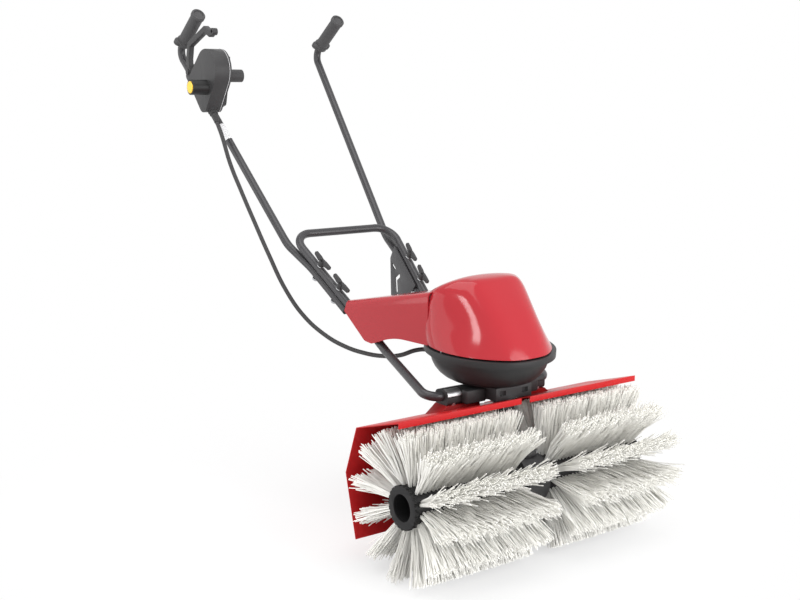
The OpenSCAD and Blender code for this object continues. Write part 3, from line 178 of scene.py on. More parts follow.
# Softboxes: place, width and height, share of the key light's power
SOFTBOXES = {
    "key_softbox": ((-0.5, -0.4, 3.1), (2.4, 2.4), 1.0),
    "window_softbox": ((-2.4, -1.26, 2.23), (0.36, 0.42), 0.15),
    "left_softbox": ((-2.6, 1.0, 1.0), (3.2, 2.4), 0.75),
    "right_softbox": ((0.85, -2.6, 1.0), (2.0, 2.0), 1.2),
}
LIGHT_TARGET = Vector((0, -0.25, 0.4))


class SweeperColours(bpy.types.PropertyGroup):
    """Colours of the finishes"""

    hood: FloatVectorProperty(
        name="Hood", description="Glossy moulded hood", subtype="COLOR", default=(0.38, 0.020, 0.028))
    guard: FloatVectorProperty(
        name="Guard", description="Coated sheet guard", subtype="COLOR", default=(0.47, 0.010, 0.012))
    tube: FloatVectorProperty(
        name="Tubes", description="Coated frame tubes", subtype="COLOR", default=(0.038, 0.037, 0.040))
    moulding: FloatVectorProperty(
        name="Mouldings", description="Black plastic", subtype="COLOR", default=(0.070, 0.069, 0.071))
    bristle: FloatVectorProperty(
        name="Bristles", description="Nylon filament", subtype="COLOR", default=(0.97, 0.96, 0.92))
    button: FloatVectorProperty(
        name="Button", description="Lock button", subtype="COLOR", default=(0.95, 0.60, 0.06))


class SweeperSizes(bpy.types.PropertyGroup):
    """Sizes of the pieces modelled here"""

    rim_radius: FloatProperty(
        name="Rim Radius", description="Radius of the bowl's rim band", default=0.145, unit="LENGTH")
    bowl_height: FloatProperty(
        name="Bowl Height", description="Height of the bowl over the beam", default=0.076, unit="LENGTH")
    hood_height: FloatProperty(
        name="Hood Height", description="Height of the hood over the bowl", default=0.152, unit="LENGTH")
    cover_back: FloatProperty(
        name="Cover Back", description="Bowl's middle behind the motor's axis", unit="LENGTH",
        default=0.012)
    hood_wall: FloatProperty(
        name="Hood Wall", description="Wall of the hood", default=0.003, unit="LENGTH")
    hood_tilt: FloatProperty(
        name="Hood Tilt", description="Tilt of the hood", default=math.radians(4), unit="ROTATION")
    tail_half: FloatProperty(
        name="Tail Half Width", description="Half width of the tail", default=0.130, unit="LENGTH")
    tail_round: FloatProperty(
        name="Tail Rounding", description="Radius along the tail's top edges", unit="LENGTH",
        default=0.012)
    cable_diameter: FloatProperty(
        name="Cable Diameter", description="Diameter of the motor cable", default=0.0105, unit="LENGTH")
    strip_rows: IntProperty(
        name="Strip Rows", description="Bristle strips round the core", default=12)
    tufts: IntProperty(
        name="Tufts", description="Tufts along one lane of a strip", default=26)
    filaments: IntProperty(
        name="Filaments", description="Filaments in one tuft", default=16)
    filament_radius: FloatProperty(
        name="Filament Radius", description="Radius of a filament", default=0.0011, unit="LENGTH")


class SweeperStage(bpy.types.PropertyGroup):
    """Camera and studio"""

    eye: FloatVectorProperty(
        name="Eye", description="Camera place from the middle of the brush", subtype="XYZ",
        default=(-1.6063, -1.7844, 0.8185))
    lens: FloatProperty(
        name="Lens", description="Focal length in millimetres", default=51.99)
    turn: FloatProperty(
        name="Turn", description="Camera turn about the upright", unit="ROTATION",
        default=math.radians(-35.70))
    pitch: FloatProperty(
        name="Pitch", description="Camera tilt below level", default=math.radians(10.19), unit="ROTATION")
    floor: FloatVectorProperty(
        name="Floor", description="Colour of the floor", subtype="COLOR", default=(0.86, 0.86, 0.86))
    key_power: FloatProperty(
        name="Key Power", description="Power of the key light in watts", default=45.0)
    sky: FloatProperty(
        name="Sky", description="Strength of the light from all round", default=0.68)


def sizes():
    """The scene's sizes"""
    return bpy.context.scene.sweeper_sizes


# Finishes

FINISHES = {}


def blank_finish(name):
    """A new material, its node tree and its shader"""
    finish = bpy.data.materials.new(name)
    finish.use_nodes = True
    return finish, finish.node_tree, finish.node_tree.nodes["Principled BSDF"]


def noise(tree, scale, detail=4.0, stretch=(1, 1, 1)):
    """Noise over the piece's own coordinates"""
    place = tree.nodes.new("ShaderNodeTexCoord")
    mapping = tree.nodes.new("ShaderNodeMapping")
    mapping.inputs["Scale"].default_value = stretch
    texture = tree.nodes.new("ShaderNodeTexNoise")
    texture.inputs["Scale"].default_value = scale
    texture.inputs["Detail"].default_value = detail
    tree.links.new(place.outputs["Object"], mapping.inputs["Vector"])
    tree.links.new(mapping.outputs["Vector"], texture.inputs["Vector"])
    return texture.outputs["Fac"]


def ramp(tree, source, start, end, low=0.0, high=1.0, curve="SMOOTHSTEP"):
    """Maps a value between start and end onto low to high"""
    node = tree.nodes.new("ShaderNodeMapRange")
    node.interpolation_type = curve
    for key, value in {"From Min": start, "From Max": end, "To Min": low, "To Max": high}.items():
        node.inputs[key].default_value = value
    tree.links.new(source, node.inputs["Value"])
    return node.outputs["Result"]


def spread(tree, source, low, high):
    """Maps the middle of a noise onto low to high"""
    return ramp(tree, source, *NOISE_MIDDLE, low, high, "LINEAR")


def blend(tree, source, first, second):
    """Mixes two colours, each plain or from a node, by a value"""
    node = tree.nodes.new("ShaderNodeMix")
    node.data_type = "RGBA"
    for key, colour in {"A": first, "B": second}.items():
        if isinstance(colour, bpy.types.NodeSocket):
            tree.links.new(colour, node.inputs[key])
        else:
            node.inputs[key].default_value = (*colour, 1)
    tree.links.new(source, node.inputs["Factor"])
    return node.outputs["Result"]


def combine(tree, operation, first, second):
    """Joins two values by one operation"""
    node = tree.nodes.new("ShaderNodeMath")
    node.operation = operation
    tree.links.new(first, node.inputs[0])
    tree.links.new(second, node.inputs[1])
    return node.outputs["Value"]


def relief(tree, shader, source, strength, depth):
    """Raises a value as fine relief"""
    node = tree.nodes.new("ShaderNodeBump")
    node.inputs["Strength"].default_value = strength
    node.inputs["Distance"].default_value = depth
    tree.links.new(source, node.inputs["Height"])
    tree.links.new(node.outputs["Normal"], shader.inputs["Normal"])


def tinted(colour, factor):
    """A colour made lighter or darker"""
    return tuple(min(channel * factor, 1.0) for channel in colour)


def moulded_finish(
        name, colour, rough, patch, grain, depth, metal=0.0, vary=0.12, gloss=0.3, scuff=0.006,
        scuffs_to_patch=6, sheen=(0.85, 1.15), strength=0.35):
    """A solid finish with patchy tone, patchy sheen, faint scuffs and a fine grain"""
    finish, tree, shader = blank_finish(name)
    patches = noise(tree, patch)
    tone = blend(tree, patches, tinted(colour, 1 - vary), tinted(colour, 1 + vary))
    scuffs = ramp(tree, noise(tree, patch * scuffs_to_patch, detail=8.0), *SCUFF_PEAKS)
    scuffed = blend(tree, scuffs, tone, [channel + scuff for channel in colour])
    tree.links.new(scuffed, shader.inputs["Base Color"])
    shader.inputs["Specular IOR Level"].default_value = gloss
    tree.links.new(spread(tree, patches, *(rough * share for share in sheen)), shader.inputs["Roughness"])
    relief(tree, shader, noise(tree, grain, detail=6.0), strength, depth)
    shader.inputs["Metallic"].default_value = metal
    return finish


def brushed_finish(
        name, colour, rough, stretch, scale=900.0, tints=(0.85, 1.1), sheen=(0.8, 1.25),
        strength=0.2, depth=0.0001):
    """Bare metal with fine lines across it"""
    finish, tree, shader = blank_finish(name)
    lines = noise(tree, scale, detail=3.0, stretch=stretch)
    tone = blend(tree, lines, *(tinted(colour, share) for share in tints))
    tree.links.new(tone, shader.inputs["Base Color"])
    tree.links.new(spread(tree, lines, *(rough * share for share in sheen)), shader.inputs["Roughness"])
    relief(tree, shader, lines, strength, depth)
    shader.inputs["Metallic"].default_value = 1.0
    return finish


def switch_finish(colour, barrel=0.3):
    """Black plastic, darker on the barrel that stands out from the box"""
    finish = moulded_finish("switch_moulding", colour, 0.46, 16.0, 1100.0, 0.00012, gloss=0.25)
    tree = finish.node_tree
    shader = tree.nodes["Principled BSDF"]
    plain = shader.inputs["Base Color"].links[0].from_socket
    place = tree.nodes.new("ShaderNodeTexCoord")
    axes = tree.nodes.new("ShaderNodeSeparateXYZ")
    tree.links.new(place.outputs["Object"], axes.inputs["Vector"])
    on_box = ramp(tree, axes.outputs["X"], *BARREL_FADE)
    tree.links.new(blend(tree, on_box, tinted(colour, barrel), plain), shader.inputs["Base Color"])
    return finish


def bristle_finish(colour, dark=0.6, gloss=0.3, patch=60.0, rough=(0.32, 0.5)):
    """Pale filament whose own tone changes from strand to strand, with painted shade darkening it towards
    its root
    """
    finish, tree, shader = blank_finish("bristle_nylon_root_shade")
    tone = tree.nodes.new("ShaderNodeAttribute")
    tone.attribute_name = "tone"
    # The tone attribute is each strand's own tone times painted shade towards its root; dark is the tint
    # at tone 0
    mixed = blend(tree, tone.outputs["Fac"], tinted(colour, dark), colour)
    tree.links.new(mixed, shader.inputs["Base Color"])
    shader.inputs["Specular IOR Level"].default_value = gloss
    tree.links.new(spread(tree, noise(tree, patch), *rough), shader.inputs["Roughness"])
    return finish


class SWEEPER_OT_finishes(bpy.types.Operator):
    """Makes the finishes and lays them on the frame's nodes"""

    bl_idname = "sweeper.finishes"
    bl_label = "Finishes"

    def execute(self, context):
        tone = context.scene.sweeper_colours
        # Moulded: colour, roughness, patches and grains to the metre, depth of the grain
        # Brushed: colour, roughness, how close the lines lie along each axis
        FINISHES.update(
            hood_red=moulded_finish(
                "hood_gloss", tone.hood, 0.10, 7.0, 700.0, 0.00001, vary=0.03, scuff=0),
            guard_red=moulded_finish(
                "guard_coat", tone.guard, 0.36, 12.0, 420.0, 0.00008, vary=0.07, gloss=0.2),
            # Bracket: the guard's red darkened, painted shade under the beam
            bracket_red=moulded_finish(
                "bracket_painted_shade", tinted(tone.guard, 0.55), 0.4, 14.0, 420.0, 0.00008),
            tube_black=moulded_finish("tube_coat", tone.tube, 0.33, 18.0, 520.0, 0.00006, gloss=0.4),
            cast_black=moulded_finish(
                "beam_casting", tinted(tone.moulding, 0.42), 0.5, 30.0, 260.0, 0.00025),
            bowl_black=moulded_finish(
                "bowl_moulding", tinted(tone.moulding, 0.28), 0.45, 10.0, 900.0, 0.00008),
            switch_black=switch_finish(tinted(tone.moulding, 0.6)),
            grip_black=moulded_finish(
                "grip_rubber", tinted(tone.moulding, 0.9), 0.6, 30.0, 520.0, 0.0005),
            seam_grey=moulded_finish("seam_rubber", (0.55, 0.55, 0.56), 0.5, 20.0, 600.0, 0.0001),
            button_yellow=moulded_finish(
                "button_moulding", tone.button, 0.28, 14.0, 800.0, 0.00005, vary=0.05),
            core_black=moulded_finish(
                "core_moulding", tinted(tone.moulding, 0.2), 0.5, 14.0, 600.0, 0.0001, gloss=0.2),
            hub_grey=moulded_finish("hub_alloy", (0.5, 0.51, 0.52), 0.35, 40.0, 500.0, 0.0001, metal=1.0),
            steel=brushed_finish("machined_steel", (0.52, 0.53, 0.55), 0.32, (1, 1, 0.05)),
            zinc=brushed_finish("zinc_plate", (0.72, 0.73, 0.74), 0.26, (0.05, 1, 1)),
            bronze=brushed_finish("hobbed_bronze", (0.55, 0.38, 0.16), 0.35, (0.05, 1, 1)),
            winding=brushed_finish("stacked_laminations", (0.34, 0.23, 0.14), 0.45, (0.05, 0.05, 1)),
            cable_black=moulded_finish(
                "cable_sheath", tinted(tone.moulding, 0.6), 0.48, 40.0, 700.0, 0.00006),
            bare_metal=brushed_finish("bare_metal", (0.50, 0.50, 0.51), 0.42, (0.05, 1, 1)),
            pale_film=moulded_finish(
                "pale_film", (0.78, 0.78, 0.79), 0.3, 40.0, 500.0, 0.00004, vary=0.05),
            bristle_cream=bristle_finish(tone.bristle),
        )
        for part in frame["record"]["subparts"]:
            dress(frame["nodes"][part["node"]], part["material_slot"])
        return {"FINISHED"}


def dress(piece, finish):
    """Gives a piece one finish"""
    piece.data.materials.clear()
    piece.data.materials.append(FINISHES[finish])


# Modelling helpers

def clear_selection():
    """Leaves edit mode and selects nothing"""
    if bpy.context.object and bpy.context.object.mode != "OBJECT":
        bpy.ops.object.mode_set(mode="OBJECT")
    bpy.ops.object.select_all(action="DESELECT")


def take(*pieces):
    """Selects these pieces alone, the first one active"""
    clear_selection()
    for piece in pieces:
        piece.select_set(True)
    bpy.context.view_layer.objects.active = pieces[0]


def finish_piece(piece, name, body, slot, angle=35):
    """Names a piece, settles its place in its mesh, smooths and dresses it and sets it on a body"""
    piece.name = name
    piece.data.name = name
    take(piece)
    bpy.ops.object.transform_apply(location=True, rotation=True, scale=True)
    bpy.ops.object.shade_smooth_by_angle(angle=math.radians(angle))
    dress(piece, slot)
    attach(piece, body)


def apply_modifier(piece, kind, **values):
    """Adds one modifier and applies it"""
    take(piece)
    modifier = piece.modifiers.new(kind.title(), kind)
    for key, value in values.items():
        setattr(modifier, key, value)
    bpy.ops.object.modifier_apply(modifier=modifier.name)


def edit_all(piece):
    """Opens a piece in edit mode with all its points selected"""
    take(piece)
    bpy.ops.object.mode_set(mode="EDIT")
    bpy.ops.mesh.select_all(action="SELECT")


def merge_points(piece):
    """Closes seams and poles and turns all faces outwards"""
    edit_all(piece)
    bpy.ops.mesh.remove_doubles(threshold=SHEET_GAP)
    bpy.ops.mesh.normals_make_consistent(inside=False)
    bpy.ops.object.mode_set(mode="OBJECT")


def eased_copy(node, width):
    """A copy of a node's mesh with its doubles merged, its flat faces joined and its edges rounded"""
    piece = bpy.data.objects.new(node + "_eased", frame["nodes"][node].data.copy())
    bpy.context.collection.objects.link(piece)
    take(piece)
    bpy.ops.mesh.customdata_custom_splitnormals_clear()
    edit_all(piece)
    bpy.ops.mesh.remove_doubles(threshold=NODE_GAP)
    bpy.ops.mesh.dissolve_limited(angle_limit=FLAT_ANGLE)
    bpy.ops.object.mode_set(mode="OBJECT")
    apply_modifier(
        piece, "BEVEL", width=width, segments=EASE_STEPS, limit_method="ANGLE", angle_limit=EASE_ANGLE)
    return piece


def rounded_block(middle, size, width, steps):
    """A block with its edges rounded"""
    clear_selection()
    bpy.ops.mesh.primitive_cube_add(size=1, location=middle)
    block = bpy.context.object
    block.scale = size
    bpy.ops.object.transform_apply(location=True, rotation=True, scale=True)
    apply_modifier(block, "BEVEL", width=width, segments=steps)
    return block


def shaped_sheet(columns, rows, place):
    """A grid whose points are moved to place(u, v), with u and v from 0 to 1"""
    clear_selection()
    bpy.ops.mesh.primitive_grid_add(x_subdivisions=columns, y_subdivisions=rows, size=2)
    sheet = bpy.context.object
    for point in sheet.data.vertices:
        point.co = place((point.co.x + 1) / 2, (point.co.y + 1) / 2)
    merge_points(sheet)
    return sheet


def along_table(table, share):
    """Reads a table of sections smoothly at a share of its length"""
    last = len(table) - 1
    at = min(int(share * last), last - 1)
    t = share * last - at
    p0, p1, p2, p3 = (table[min(max(at + k, 0), last)] for k in (-1, 0, 1, 2))
    return [
        b + 0.5 * t * (c - a + t * (2 * a - 5 * b + 4 * c - d + t * (3 * (b - c) + d - a)))
        for a, b, c, d in zip(p0, p1, p2, p3)]


def rounded_line(corners, steps=8):
    """Points of an open line whose inner corners are turned to their radii"""
    points = []
    for i, (y, z, radius) in enumerate(corners):
        here = Vector((y, z))
        if radius == 0:
            points.append(here)
            continue
        back = (Vector(corners[i - 1][:2]) - here).normalized()
        ahead = (Vector(corners[i + 1][:2]) - here).normalized()
        half = back.angle(ahead) / 2
        centre = here + (back + ahead).normalized() * (radius / math.sin(half))
        first = here + back * (radius / math.tan(half)) - centre
        last = here + ahead * (radius / math.tan(half)) - centre
        sweep = math.pi - 2 * half
        for k in range(steps + 1):
            t = k / steps
            bend = first * math.sin((1 - t) * sweep) + last * math.sin(t * sweep)
            points.append(centre + bend / math.sin(sweep))
    return points


def height_on(line, y):
    """Height of an open line at y"""
    for a, b in zip(line, line[1:]):
        if a.x <= y <= b.x:
            return a.y + (b.y - a.y) * (y - a.x) / max(b.x - a.x, 1e-9)
    return line[-1].y


# Pieces

class SWEEPER_OT_camera(bpy.types.Operator):
    """Sets the camera at the viewing angle"""

    bl_idname = "sweeper.camera"
    bl_label = "Camera"

    sensor_width = 36

    def execute(self, context):
        stage = context.scene.sweeper_stage
        clear_selection()
        bpy.ops.object.camera_add(
            location=AXLE + Vector(stage.eye), rotation=(math.pi / 2 - stage.pitch, 0, stage.turn))
        camera = context.object
        camera.name = "studio_camera"
        camera.data.lens = stage.lens
        camera.data.sensor_width = self.sensor_width
        context.scene.camera = camera
        return {"FINISHED"}


class SWEEPER_OT_cable(bpy.types.Operator):
    """Runs the motor cable from the switch box to the bowl"""

    bl_idname = "sweeper.cable"
    bl_label = "Motor Cable"

    def execute(self, context):
        size = sizes()
        curve = bpy.data.curves.new("motor_cable_run", "CURVE")
        curve.dimensions = "3D"
        curve.bevel_depth = size.cable_diameter / 2
        curve.bevel_resolution = 5
        curve.resolution_u = 8
        spline = curve.splines.new("BEZIER")
        spline.bezier_points.add(len(CABLE_ROUTE) - 1)
        for point, place in zip(spline.bezier_points, CABLE_ROUTE):
            point.co = AXLE + Vector(place)
            point.handle_left_type = point.handle_right_type = "AUTO"
        cable = bpy.data.objects.new("motor_cable_run", curve)
        context.collection.objects.link(cable)
        curve.materials.append(FINISHES["cable_black"])
        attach(cable, "frame")
        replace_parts(cable, "motor_cable")
        return {"FINISHED"}


class SWEEPER_OT_hood(bpy.types.Operator):
    """Models the glossy hood and its tail as one shell"""

    bl_idname = "sweeper.hood"
    bl_label = "Motor Hood"

    bulb_grid = (96, 56)
    tail_grid = (40, 60)
    smooth_share = 0.5
    smooth_rounds = 24

    # Shares from the tail's middle to its edge where the flat top ends and the side wall starts
    flat_to = 0.4
    wall_from = 0.6

    def bulb_point(self, u, v):
        """Round the hood by u and up it by v"""
        size = sizes()
        rise, rear, *plan, front = along_table(HOOD_SECTIONS, v)
        half = [(0, rear), *zip(plan[::2], plan[1::2]), (0, front)]
        x, y = along_table(half + [(-x, y) for x, y in reversed(half[:-1])], u)
        point = Vector((
            size.rim_radius * x, size.rim_radius * y, size.bowl_height + size.hood_height * rise))
        tilt = Matrix.Rotation(size.hood_tilt, 3, "X")
        return BEAM + Vector((0, size.cover_back, BEAM_TOP)) + tilt @ point

    def soften(self, bulb):
        """Rounds the shoulders and creases"""
        edit_all(bulb)
        bpy.ops.mesh.vertices_smooth(factor=self.smooth_share, repeat=self.smooth_rounds)
        bpy.ops.object.mode_set(mode="OBJECT")

    def tail_point(self, u, v):
        """Across the tail by u, over wall, rounding and flat top, and back along it by v"""
        size = sizes()
        low_y = TAIL_EDGE[0][0] + (TAIL_EDGE[-1][0] - TAIL_EDGE[0][0]) * v
        low = Vector((low_y, height_on(self.edge, low_y)))
        top = Vector(TAIL_TOP[0]).lerp(Vector(TAIL_TOP[1]), v)
        across = abs(2 * u - 1)
        side = 1 if u > 0.5 else -1
        half, turn = size.tail_half, size.tail_round
        if across > self.wall_from:
            share = (1 - across) / (1 - self.wall_from)
            at = low.lerp(top - Vector((0, turn)), share)
            return BEAM + Vector((side * half, at.x, at.y))
        if across > self.flat_to:
            angle = (self.wall_from - across) / (self.wall_from - self.flat_to) * math.pi / 2
            out = half - turn + turn * math.cos(angle)
            up = top.y - turn + turn * math.sin(angle)
            return BEAM + Vector((side * out, top.x, up))
        return BEAM + Vector((side * (half - turn) * across / self.flat_to, top.x, top.y))

    def execute(self, context):
        size = sizes()
        self.edge = rounded_line(TAIL_EDGE)
        bulb = shaped_sheet(*self.bulb_grid, self.bulb_point)
        self.soften(bulb)
        apply_modifier(bulb, "SOLIDIFY", thickness=size.hood_wall, offset=-1)
        tail = shaped_sheet(*self.tail_grid, self.tail_point)
        apply_modifier(tail, "SOLIDIFY", thickness=size.hood_wall, offset=-1)
        take(bulb, tail)
        bpy.ops.object.join()
        finish_piece(bulb, "hood_shell", "frame", "hood_red", angle=40)
        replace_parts(bulb, "motor_hood")
        return {"FINISHED"}


class SWEEPER_OT_bristles(bpy.types.Operator):
    """Sets the bristle filaments of both roller halves"""

    bl_idname = "sweeper.bristles"
    bl_label = "Bristles"

    # Corners and rings of a filament, and the turn of the first strip
    sides = 3
    rings = 3
    first_row = math.radians(6)

    # Places of the tufts on the core
    edge = 0.006
    lane_half = 0.0027
    lane_shares = (0.25, 0.75)
    tuft_radius = 0.0030
    root_depth = 0.003

    # Lean of the filaments towards the ends, and the places they stay between
    end_splay = 0.036
    end_from = 0.58
    inner_splay = 0.019
    inner_to = 0.2
    splay_range = (0.6, 1.15)
    inner_limit = 0.032
    outer_limit = 0.347

    # Spread from filament to filament
    tip_spread = 0.0095
    tip_limit = 0.024
    drift_spread = 0.0062
    stray_chance = 0.025
    stray_drift = 0.010
    stray_turn = 0.05
    tip_gap = 0.001
    length_spread = 0.0060
    bow_spread = 0.030

    # Shape along a filament, its own tone, and the painted shade that darkens it towards its root
    turn_power = 1.2
    drift_power = 1.3
    tone_range = (0.7, 1.0)
    root_shade = 0.85
    root_shade_share = 0.4

    def filament(self, chance, row, tuft, lane, mirror):
        """Centres of one filament's rings, and their tones with painted shade towards the root"""
        size = sizes()
        share = (tuft + self.lane_shares[lane]) / size.tufts
        spot, spin = self.tuft_radius * math.sqrt(chance.random()), chance.uniform(0, 2 * math.pi)
        along = CORE_IN + self.edge + (CORE_OUT - CORE_IN - 2 * self.edge) * share + spot * math.cos(spin)
        turn = 2 * math.pi * row / size.strip_rows - math.pi / 2 + self.first_row
        side = self.lane_half * (2 * lane - 1)
        root_turn = turn + (side + spot * math.sin(spin)) / CORE_R
        scatter = max(-self.tip_limit, min(self.tip_limit, chance.gauss(0, self.tip_spread)))
        tip_turn = turn + (side + scatter) / BRUSH_R
        push = self.end_splay * (max(0, share - self.end_from) / (1 - self.end_from)) ** 2
        push -= self.inner_splay * (max(0, self.inner_to - share) / self.inner_to) ** 2
        drift = push * chance.uniform(*self.splay_range) + chance.gauss(0, self.drift_spread)
        if chance.random() < self.stray_chance:
            drift += chance.gauss(0, self.stray_drift)
            tip_turn += chance.gauss(0, self.stray_turn)
        root = CORE_R - self.root_depth
        length = BRUSH_R - self.tip_gap - abs(chance.gauss(0, self.length_spread)) - root
        fall = math.sqrt(length ** 2 - drift ** 2)
        bow = chance.gauss(0, self.bow_spread)
        tone = chance.uniform(*self.tone_range)
        points = []
        for k in range(self.rings):
            t = k / (self.rings - 1)
            radius = root + fall * t
            angle = root_turn + (tip_turn - root_turn) * t ** self.turn_power + bow * t * (1 - t)
            x = max(self.inner_limit, min(along + drift * t ** self.drift_power, self.outer_limit))
            y, z = AXLE.y + radius * math.cos(angle), AXLE.z + radius * math.sin(angle)
            # Painted shade: the ring is darker towards the root, where the rows shade it
            light = self.root_shade + (1 - self.root_shade) * min(1, t / self.root_shade_share)
            points.append((Vector((mirror * x, y, z)), tone * light))
        return points

    def half(self, name, mirror, seed):
        """All filaments of one roller half as one piece"""
        size = sizes()
        chance = random.Random(seed)
        points, faces, tones = [], [], []
        for row in range(size.strip_rows):
            for place in range(size.tufts * 2 * size.filaments):
                tuft, lane = divmod(place // size.filaments, 2)
                start = len(points)
                spine = self.filament(chance, row, tuft, lane, mirror)
                run = (spine[-1][0] - spine[0][0]).normalized()
                first = run.cross(Vector((1, 0, 0))).normalized()
                second = run.cross(first)
                for centre, tone in spine:
                    for k in range(self.sides):
                        angle = 2 * math.pi * (k + 0.5) / self.sides
                        points.append(centre + size.filament_radius * (
                            first * math.cos(angle) + second * math.sin(angle)))
                        tones.append(tone)
                for ring in range(self.rings - 1):
                    for k in range(self.sides):
                        low = start + ring * self.sides
                        high = low + self.sides
                        after = (k + 1) % self.sides
                        faces.append((low + k, low + after, high + after, high + k))
                faces.append(tuple(start + (self.rings - 1) * self.sides + k for k in range(self.sides)))
                faces.append(tuple(start + k for k in reversed(range(self.sides))))
        mesh = bpy.data.meshes.new(name)
        mesh.from_pydata(points, [], faces)
        # The tone attribute carries each strand's own tone and its painted root shade
        mesh.attributes.new("tone", "FLOAT", "POINT").data.foreach_set("value", tones)
        mesh.update()
        piece = bpy.data.objects.new(name, mesh)
        bpy.context.collection.objects.link(piece)
        finish_piece(piece, name, "brush", "bristle_cream", angle=60)
        return piece

    def execute(self, context):
        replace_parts(self.half("bristle_fill_left", 1, 11), "bristles_left")
        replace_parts(self.half("bristle_fill_right", -1, 23), "bristles_right")
        return {"FINISHED"}


class SWEEPER_OT_eased(bpy.types.Operator):
    """Rounds the edges of the moulded, cast and bent pieces"""

    bl_idname = "sweeper.eased"
    bl_label = "Eased Edges"

    def execute(self, context):
        slots = {part["node"]: part["material_slot"] for part in frame["record"]["subparts"]}
        for node, width in EASED_EDGES.items():
            piece = eased_copy(node, width)
            finish_piece(piece, piece.name, body_of(frame["nodes"][node])[0], slots[node])
            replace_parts(piece, node)
        return {"FINISHED"}


class SWEEPER_OT_strips(bpy.types.Operator):
    """Models the black backs that hold the bristles in the core's grooves"""

    bl_idname = "sweeper.strips"
    bl_label = "Strip Backs"

    width = 0.007
    depth = 0.006
    edge_round = 0.0008

    def half(self, name, mirror):
        """All strip backs of one roller half as one piece"""
        size = sizes()
        strip = rounded_block(
            (mirror * (CORE_IN + CORE_OUT) / 2, AXLE.y, AXLE.z - CORE_R + self.depth / 2),
            (CORE_OUT - CORE_IN, self.width, self.depth), self.edge_round, steps=2)
        rows = [strip]
        for _ in range(size.strip_rows - 1):
            rows.append(bpy.data.objects.new(name, strip.data.copy()))
            bpy.context.collection.objects.link(rows[-1])
        for row, piece in enumerate(rows):
            turn = Matrix.Rotation(
                2 * math.pi * row / size.strip_rows + SWEEPER_OT_bristles.first_row, 4, "X")
            piece.data.transform(Matrix.Translation(AXLE) @ turn @ Matrix.Translation(-AXLE))
        take(*rows)
        bpy.ops.object.join()
        finish_piece(strip, name, "brush", "core_black")

    def execute(self, context):
        self.half("strip_backs_left", 1)
        self.half("strip_backs_right", -1)
        return {"FINISHED"}


class SWEEPER_OT_trim(bpy.types.Operator):
    """Adds the ribs between the beam's block and sleeves, its bare plate and the film round the handle"""

    bl_idname = "sweeper.trim"
    bl_label = "Trim"

    plate_span = (-0.139, -0.102)
    plate_middle = Vector((0, -0.010, 0.002))
    plate_radius = 0.0129
    plate_turns = (math.radians(66), math.radians(180))
    plate_grid = (6, 16)
    film_shares = (0.520, 0.595)
    film_grid = (40, 6)
    film_gap = 0.0003
    thickness = 0.0004
    rib_middle = Vector((0.075, -0.030, -0.0012))
    rib_size = (0.054, 0.020, 0.0295)
    rib_round = 0.003

    def rib(self, name, side):
        """A cast rib from the block to one sleeve"""
        x, y, z = self.rib_middle
        rib = rounded_block(BEAM + Vector((side * x, y, z)), self.rib_size, self.rib_round, steps=4)
        finish_piece(rib, name, "frame", "cast_black")

    def plate_point(self, u, v):
        """Along the beam by u, and by v from its flat top round its front"""
        low, high = self.plate_turns
        turn = low + (high - low) * v
        x = self.plate_span[0] + (self.plate_span[1] - self.plate_span[0]) * u
        if turn < math.pi / 2:
            across, rise = -math.tan(turn - math.pi / 2), 1
        else:
            across, rise = math.cos(turn), math.sin(turn)
        place = Vector((x, self.plate_radius * across, self.plate_radius * rise))
        return BEAM + self.plate_middle + place

    def film_point(self, u, v):
        """Round the handle by u and along it by v"""
        low, high = self.film_shares
        run = (HANDLE_TOP - HANDLE_MID).normalized()
        centre = HANDLE_MID.lerp(HANDLE_TOP, low + (high - low) * v)
        side = run.cross(Vector((0, 0, 1))).normalized()
        front = run.cross(side)
        turn = 2 * math.pi * u
        return BEAM + centre + (TUBE_R + self.film_gap) * (side * math.cos(turn) + front * math.sin(turn))

    def sheet(self, name, grid, place, slot, finish):
        """A thin sheet, dressed first in a node's slot finish and then in a finish of its own"""
        piece = shaped_sheet(*grid, place)
        apply_modifier(piece, "SOLIDIFY", thickness=self.thickness, offset=1)
        finish_piece(piece, name, "frame", slot, angle=40)
        dress(piece, finish)

    def execute(self, context):
        self.rib("beam_rib_left", 1)
        self.rib("beam_rib_right", -1)
        self.sheet("bare_plate", self.plate_grid, self.plate_point, "zinc", "bare_metal")
        self.sheet("handle_film", self.film_grid, self.film_point, "seam_grey", "pale_film")
        return {"FINISHED"}


